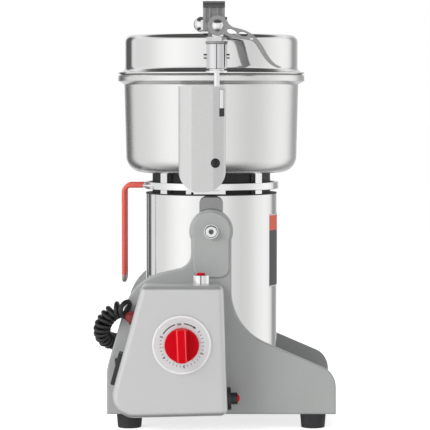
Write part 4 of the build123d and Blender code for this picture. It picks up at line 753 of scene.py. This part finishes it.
def curled(line):
    """The wire's own middle line, wound round the route."""
    sideways = (line[1] - line[0]).cross(Vector((0, 0, 1))).normalized()
    total = sum((b - a).length for a, b in zip(line, line[1:]))
    points, gone, turn = [], 0.0, FIRST_ANGLE
    for i, (a, b) in enumerate(zip(line, line[1:])):
        ahead = (b - a).normalized()
        sideways = (sideways - ahead * sideways.dot(ahead)).normalized()
        over = ahead.cross(sideways)
        start = math.exp(-(gone / FIRST_RUN) ** 2)
        wide = COIL * (1 + FIRST_TURN * start)
        pitch = pitch_at(line, i, start)
        stretch = (b - a).length
        steps = max(2, math.ceil(stretch / pitch * STEPS_PER_TURN))
        for step in range(steps):
            share = step / steps
            along = gone + stretch * share
            from_middle = eased(min(1.0, along / FIRST_TAIL, (total - along) / LAST_TAIL))
            angle = turn + 2 * math.pi * stretch * share / pitch
            out = sideways * math.cos(angle) + over * math.sin(angle)
            points.append(a.lerp(b, share) + (out * wide + FIRST_LIFT * start) * from_middle)
        turn += 2 * math.pi * stretch / pitch
        gone += stretch
    points.append(line[-1].copy())
    return points


def thin_line(points, least):
    """The line without points closer together than least."""
    kept = [points[0]]
    for point in points[1:-1]:
        if (point - kept[-1]).length >= least:
            kept.append(point)
    return kept + [points[-1]]


BOX_OUT = Vector((-0.964621, 0, 0.263642)).normalized()  # out of the box's cord gland
MOTOR_OUT = Vector((-0.848048, -0.529919, 0)).normalized()  # out of the motor's cord gland
# Each boot's (distance, radius) sections, from inside its gland outwards
BOX_RIBS = ((-0.0006, 0.0047), (0.0002, 0.0050), (0.0010, 0.0050), (0.0014, 0.0042), (0.0022, 0.0041),
            (0.0026, 0.0034))
BOOT_RIBS = ((-0.0006, 0.0047), (0.0002, 0.0050), (0.0012, 0.0050), (0.0016, 0.0043), (0.0028, 0.0042),
             (0.0032, 0.0047), (0.0042, 0.0046), (0.0046, 0.0039), (0.0058, 0.0038), (0.0062, 0.0042),
             (0.0070, 0.0041), (0.0074, 0.0034))


def make_boots():
    """Tapered ribbed boots where the lead enters the two glands."""
    box_boot = turned("box_lead_boot", Vector(LEAD_ROUTE[0]), BOX_OUT, BOX_RIBS, 32)
    motor_boot = turned("motor_lead_boot", Vector(LEAD_ROUTE[-1]), MOTOR_OUT, BOOT_RIBS, 32)
    return [fit(box_boot, "gland_red", "base"),
            fit(motor_boot, "black_moulding", "mill")]


def wire_solid(wire):
    """A round wire along a line of points."""
    curve = bpy.data.curves.new("curly_lead", "CURVE")
    curve.dimensions = "3D"
    curve.bevel_depth = WIRE / 2
    curve.bevel_resolution = 4
    curve.use_fill_caps = True
    spline = curve.splines.new("POLY")
    spline.points.add(len(wire) - 1)
    for point, place in zip(spline.points, wire):
        point.co = (*place, 1)
    lead = bpy.data.objects.new("curly_lead", curve)
    bpy.context.scene.collection.objects.link(lead)
    take(lead)
    bpy.ops.object.convert(target="MESH")
    lead = settle(bpy.context.object, "curly_lead")
    bpy.ops.object.shade_smooth()
    return lead


def make_lead():
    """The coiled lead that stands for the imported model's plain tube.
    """
    wire = thin_line(curled(route_line()), LEAST_STEP)
    lead = wire_solid(wire)
    dress(lead, "lead_sheath")
    length = sum((b - a).length for a, b in zip(wire, wire[1:]))
    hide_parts("curly_cord")
    make_boots()
    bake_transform(lead)


# Small fittings

BOLT_HEAD = 0.006  # from a pivot bolt's end to the face of its washer
BOLT_SOCKET = 0.00365  # and to the floor of its socket
# (distance, radius) sections
DARK_GAP_RING = ((0, 0.00675), (0, 0.00755), (0.0006, 0.00745), (0.0008, 0.0070), (0.0008, 0.00675))
SOCKET_DISH = ((0, 0.0030), (0.0005, 0.0030), (0.0007, 0.0027), (0.0006, 0.0016))
DIAL_BEAD = ((0, 0.0318), (0.0003, 0.0320), (0.0004, 0.0326), (0.0004, 0.0336), (0.0002, 0.0341),
             (0, 0.0343))


def bolt_ends(depth):
    """For each end of the pivot bolts: its side, the place that deep, and the way out."""
    low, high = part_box("pivot_bolts")
    middle = middle_of("pivot_bolts")
    near = Vector((middle.x, low.y + depth, middle.z))
    far = Vector((middle.x, high.y - depth, middle.z))
    return ("near", near, Vector((0, -1, 0))), ("far", far, Vector((0, 1, 0)))


def lock_rings():
    """Black ring under each pivot bolt's head, shaped as a spring washer: painted shade of the gap round
    the head.
    """
    for side, seat, out in bolt_ends(BOLT_HEAD):
        washer = ring(side + "_lock_ring", seat, out, DARK_GAP_RING)
        fit(washer, "black_enamel", "mill")


def socket_floors():
    """Dark floor of each pivot bolt's socket: painted shade in the recess."""
    for side, floor, out in bolt_ends(BOLT_SOCKET):
        dish = turned(side + "_socket", floor, out, SOCKET_DISH, 24)
        fit(dish, "socket_shade", "mill")


SLOT_PLATE = ((-0.0036, -0.0887, 0.3735), (0.0026, -0.0881, 0.4025))
BROKEN_EDGE = 0.0001


def slot_guide():
    """Bright guide plate behind the slot of the lock housing."""
    fit(bar("slot_guide", *SLOT_PLATE, BROKEN_EDGE), "bright_chrome", "mill")


def dial_rim():
    """Turned bead round the dial's edge."""
    fit(ring("dial_rim", DIAL_CENTRE, Vector((0, -1, 0)), DIAL_BEAD, 96), "rim_bead", "base")


def front_seam(name, node, half, proud, sunk, top, bottom):
    """A line down the front of a round piece.

    half is half its width, proud and sunk are how far it lies before and behind the piece's
    front, and top and bottom are how far its ends lie below the piece's top.
    """
    x, y = middle_of(node).x, front_of(node)
    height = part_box(node)[1].z
    low, high = (x - half, y - proud, height - bottom), (x + half, y + sunk, height - top)
    return bar(name, low, high, BROKEN_EDGE)


def collar_seam():
    """Dark line down the front of the push button's collar: painted reflection, standing for the dark edge
    between two hex facets.
    """
    front_bar = front_seam("collar_seam", "button_collar", 0.0006, 0.0002, 0.0006, 0.0004, 0.0104)
    fit(front_bar, "black_moulding", "base")


def sleeve_seam():
    """Slit down the front of the rolled clamp sleeve."""
    front_bar = front_seam("sleeve_seam", "clamp_sleeve", 0.0005, 0.00015, 0.0005, 0.0087, 0.0373)
    fit(front_bar, "black_moulding", "lid")


CROWN_LOW = Vector((-0.0216, -0.0809, 0.4983))
CROWN_HIGH = Vector((0.0042, -0.0725, 0.50598))
CROWN_ROUND = 0.0066


def arm_crown():
    """Rounded crown over the top of the lid arm, near black: painted reflection of the shiny arm's dark
    top.
    """
    crown = bar("arm_crown", CROWN_LOW, CROWN_HIGH)
    for vertex in crown.data.vertices:
        vertex.select = (vertex.co.yz - Vector((CROWN_LOW.y, CROWN_HIGH.z))).length < 0.0001
    for part in (*crown.data.edges, *crown.data.polygons):
        part.select = False
    bpy.ops.object.mode_set(mode="EDIT")
    bpy.ops.mesh.bevel(offset=CROWN_ROUND, segments=7, affect="EDGES")
    take(crown)
    bpy.ops.object.shade_smooth_by_angle(angle=SMOOTH_UNDER)
    fit(crown, "crown_painted_reflection", "lid")


ROCKER_MARKS = (("rocker_on", "I", 0.0815), ("rocker_off", "O", 0.0700))  # name, mark, height
ROCKER_MARK_SIZE = 0.0062
OUTSIDE_X = -0.16  # left of the whole mill


def rocker_marks():
    """White I and O on the rocker's two ends."""
    rocker = NODES["power_rocker"]
    middle_y = middle_of("power_rocker").y
    for name, words, height in ROCKER_MARKS:
        outside = Vector((OUTSIDE_X, middle_y, height))
        _, place, out, _ = rocker.ray_cast(outside, Vector((1, 0, 0)))
        up = (Vector((0, 0, 1)) - out * out.z).normalized()
        turn = Matrix((up.cross(out), up, out)).transposed().to_4x4()
        mark = lettered(name, words, ROCKER_MARK_SIZE, Matrix.Translation(place + out * INK / 2) @ turn)
        fit(mark, "mark_white", "rocker")


# Printed dial

INK = 0.00005  # thickness of the print
FATTEN = 0.0002  # how much bolder the letters are than the font's own
ARC_RADIUS = 0.025
ARC_WIDTH = 0.0013
ARC_START = 0.0002  # length of the patch that an arc is drawn out from
ARROW_SIZE = 0.0034
NUMBER_ANGLES = (52, 113, 174, 234, 292)  # 1 to 5, in degrees clockwise from the top
NUMBER_SIZE, NUMBER_RADIUS = 0.0044, 0.0252
ON_SIZE, ON_RADIUS, ON_ANGLE = 0.0030, 0.0243, -7.3
LEFT_ARC = (-57.4, -18.4)
RIGHT_ARC = (6.3, 36.5)
ARROW_ANGLE = 37.5
LAST_TICK = 302
TICK_WIDTH = 0.0007
TICK = (0.0248, 0.0019)  # radius and length
INNER_TICK = (0.0217, 0.0012)


def on_dial(angle, radius, lift=0.0):
    """A place on the dial: degrees clockwise from the top, and metres from the middle."""
    turn = math.radians(angle)
    return DIAL_CENTRE + Vector((math.sin(turn) * radius, -lift, math.cos(turn) * radius))


def facing(angle):
    """Turns a flat shape to lie on the dial with its top outwards."""
    return Matrix.Rotation(math.radians(angle), 4, "Y") @ Matrix.Rotation(math.radians(90), 4, "X")


def lettered(name, words, size, place):
    """Printed words or a number, laid flat at a place."""
    clear_bench()
    bpy.ops.object.text_add()
    text = bpy.context.object
    text.data.body = words
    text.data.size = size
    text.data.align_x = "CENTER"
    text.data.align_y = "CENTER"
    text.data.extrude = INK / 2
    text.data.offset = FATTEN
    text.data.resolution_u = 3
    bpy.ops.object.convert(target="MESH")
    letters = bpy.context.object
    letters.matrix_world = place
    return settle(letters, name)


def dial_words(name, words, size, angle, radius):
    """Printed words on the dial, their tops outwards."""
    return lettered(name, words, size, Matrix.Translation(on_dial(angle, radius, INK / 2)) @ facing(angle))


def printed_strip(name, angle, radius, width, height):
    """A small flat patch on the dial, ready to be drawn out."""
    clear_bench()
    bpy.ops.mesh.primitive_plane_add(size=1)
    strip = bpy.context.object
    strip.matrix_world = (Matrix.Translation(on_dial(angle, radius, INK)) @ facing(angle)
                          @ Matrix.Diagonal((width, height, 1, 1)))
    settle(strip, name)
    bpy.ops.object.mode_set(mode="EDIT")
    bpy.ops.mesh.select_all(action="SELECT")
    return strip


def thicken(strip):
    """Gives a flat print its thickness, down to the dial's face."""
    leave_edit()
    take(strip)
    layer = strip.modifiers.new("ink", "SOLIDIFY")
    layer.thickness = INK
    layer.offset = -1
    bpy.ops.object.modifier_apply(modifier=layer.name)
    bpy.ops.object.mode_set(mode="EDIT")
    bpy.ops.mesh.select_all(action="SELECT")
    bpy.ops.mesh.remove_doubles(threshold=0.000001)
    bpy.ops.mesh.normals_make_consistent(inside=False)
    leave_edit()
    return strip


def pick_ahead(strip, angle):
    """Selects the end of a strip that lies further round the dial, and nothing else."""
    ahead = on_dial(angle + 10, ARC_RADIUS) - on_dial(angle, ARC_RADIUS)
    middle = on_dial(angle, ARC_RADIUS)
    for vertex in strip.data.vertices:
        vertex.select = (vertex.co - middle).dot(ahead) > 0
    for edge in strip.data.edges:
        edge.select = all(strip.data.vertices[i].select for i in edge.vertices)
    for face in strip.data.polygons:
        face.select = False


def arc(name, start, end):
    """A printed arc from one angle to another, clockwise."""
    strip = printed_strip(name, start, ARC_RADIUS, ARC_START, ARC_WIDTH)
    leave_edit()
    pick_ahead(strip, start)
    bpy.ops.object.mode_set(mode="EDIT")
    bpy.ops.mesh.select_mode(type="EDGE")
    bpy.ops.mesh.spin(steps=24, angle=math.radians(start - end), center=DIAL_CENTRE, axis=(0, 1, 0))
    bpy.ops.mesh.select_mode(type="VERT")
    return thicken(strip)


def arrowhead(name, angle):
    """The tip of the arrow that shows which way the timer is wound."""
    strip = printed_strip(name, angle, ARC_RADIUS, ARROW_SIZE, ARROW_SIZE)
    leave_edit()
    pick_ahead(strip, angle)
    bpy.ops.object.mode_set(mode="EDIT")
    bpy.ops.mesh.merge(type="CENTER")
    return thicken(strip)


def tick_places():
    """Five ticks between each two numbers, an inner one at the middle, and one past the last number."""
    places = []
    for low, high in zip(NUMBER_ANGLES, NUMBER_ANGLES[1:]):
        step = (high - low) / 6
        places += [(low + step * n, *TICK) for n in range(1, 6)]
        places.append((low + step * 3, *INNER_TICK))
    return places + [(LAST_TICK, *TICK)]


def scale_ticks():
    """All the dial's ticks, with rounded corners, as one print."""
    ticks = []
    for angle, radius, length in tick_places():
        ticks.append(printed_strip("tick", angle, radius, TICK_WIDTH, length))
        bpy.ops.mesh.bevel(offset=TICK_WIDTH / 5, segments=2, affect="VERTICES")
        leave_edit()
    clear_bench()
    for tick in ticks:
        tick.select_set(True)
    bpy.context.view_layer.objects.active = ticks[0]
    bpy.ops.object.join()
    joined = bpy.context.object
    joined.name = "dial_ticks"
    return thicken(joined)


def print_dial():
    """The timer's scale: ON, the numbers, the arrow and the ticks."""
    pieces = [dial_words("dial_on", "ON", ON_SIZE, ON_ANGLE, ON_RADIUS)]
    for number, angle in enumerate(NUMBER_ANGLES, 1):
        pieces.append(dial_words(f"dial_number_{number}", str(number), NUMBER_SIZE, angle, NUMBER_RADIUS))
    pieces += [arc("dial_arc_left", *LEFT_ARC), arc("dial_arc_right", *RIGHT_ARC)]
    pieces += [arrowhead("dial_arrow", ARROW_ANGLE), scale_ticks()]
    for piece in pieces:
        fit(piece, "dial_ink", "base")


# Studio

AROUND = (  # brightness seen in each direction: 0 is the camera's side, 90 the right
    (-180, 0.8), (-161, 0.8), (-157, 0.12), (-135, 0.12), (-129, 0.87), (-113, 0.83), (-92, 0.88),
    (-74, 1.03), (-58, 1.15), (-47, 1.17), (0, 0.93), (25, 0.93), (39, 0.81), (54, 0.76), (70, 0.82),
    (87, 0.98), (107, 1.09), (122, 1.03), (131, 0.8), (137, 0.4), (144, 0.35), (157, 0.45), (168, 0.75),
    (180, 0.75))
UPWARDS = (  # share of that brightness, from straight down (-1) to straight up (1)
    (-1, 0.05), (-0.9, 0.25), (-0.7, 0.75), (-0.4, 1), (0.5, 1), (0.6, 0.8), (0.67, 0.18),
    (0.8, 0.08), (1, 0.1))
BRIGHTEST = 1.25
OVERHEAD = 0.95  # brightness of the soft box above, the same all round
OVERHEAD_RISE = ((0.64, 0), (0.74, 1))  # how it fades in, from 0 straight down to 1 straight up
FILL_SHARE = 0.8  # how much of the room's light falls on surfaces that aren't polished
FLOOR_SIZE = 60
FLOOR_DROP = 0.0003  # below the feet
FLOOR_GLOW, FLOOR_GLOW_SEEN = (0.12,) * 3, (0.68,) * 3  # on the mill, and to the camera
LAMPS = (  # name, place, aim, width, height, watts
    ("top_light", (-0.4, -0.3, 2.2), (0, 0, 0.2), 1.6, 1.6, 14),
    ("left_light", (-1.6, -1.5, 1.3), (0, 0, 0.2), 1.2, 1.2, 32),
    ("right_light", (2.0, -1.0, 0.9), (0, 0, 0.25), 1.4, 1.6, 5),
)


def studio_shell():
    """White paper floor, too wide for its edge to be seen."""
    clear_bench()
    bpy.ops.mesh.primitive_plane_add(size=FLOOR_SIZE)
    floor = settle(bpy.context.object, "studio_floor")
    floor.location.z = -FLOOR_DROP
    floor.visible_glossy = False
    made = Finish("floor_paper", Roughness=0.9)
    seen = made.node("ShaderNodeLightPath", output="Is Camera Ray")
    made.feed("Emission Color", made.blend(seen, FLOOR_GLOW, FLOOR_GLOW_SEEN))
    made.feed("Emission Strength", 1.0)
    made.feed("Base Color", made.tints((0.9, 0.9, 0.9), made.noise(0.4), 0.01))
    floor.data.materials.append(made.material)


def white_room():
    """Soft boxes and dark gaps all round for the polished metal, and plain white behind."""
    world = bpy.data.worlds.new("white_room")
    world.use_nodes = True
    bpy.context.scene.world = world
    room = Mixer(world.node_tree, "Generated")
    across, along, up = (room.axis(i) for i in range(3))
    around = room.node("ShaderNodeMath", {"operation": "ARCTAN2"}, {0: across, 1: 0 - along})
    walls = room.ramp(around / (2 * math.pi) + 0.5,
                      [((at + 180) / 360, bright / BRIGHTEST) for at, bright in AROUND])
    rise = room.ramp(up * 0.5 + 0.5, [((at + 1) / 2, share) for at, share in UPWARDS])
    overhead = room.ramp(up * 0.5 + 0.5, OVERHEAD_RISE)
    boxes = walls * (1 - overhead) + overhead * OVERHEAD / BRIGHTEST
    fill = room.node("ShaderNodeLightPath", output="Is Diffuse Ray")
    strength = BRIGHTEST * (1 - fill * (1 - FILL_SHARE))
    lit = room.node("ShaderNodeBackground", inputs={"Color": boxes * rise, "Strength": strength})
    plain = room.node("ShaderNodeBackground", inputs={"Color": (1, 1, 1), "Strength": 1.0})
    seen = room.node("ShaderNodeLightPath", output="Is Camera Ray")
    both = room.node("ShaderNodeMixShader", inputs={0: seen, 1: lit, 2: plain})
    room.plug(room.tree.nodes["World Output"].inputs["Surface"], both)


def soft_light(name, place, aim, width, height, power):
    """A soft lamp that the polished metal doesn't mirror."""
    bpy.ops.object.select_all(action="DESELECT")
    bpy.ops.object.light_add(type="AREA", location=place)
    light = bpy.context.object
    light.name = name
    light.data.shape = "RECTANGLE"
    light.data.size = width
    light.data.size_y = height
    light.data.energy = power
    light.visible_glossy = False
    light.rotation_euler = (Vector(aim) - Vector(place)).to_track_quat("-Z", "Y").to_euler()


def light_studio():
    """Room, floor and lamps."""
    white_room()
    studio_shell()
    for lamp in LAMPS:
        soft_light(*lamp)
    bpy.context.scene.view_settings.view_transform = "Standard"


make_lead()
lock_rings()
socket_floors()
slot_guide()
dial_rim()
collar_seam()
sleeve_seam()
arm_crown()
rocker_marks()
print_dial()
dress_frame()
light_studio()
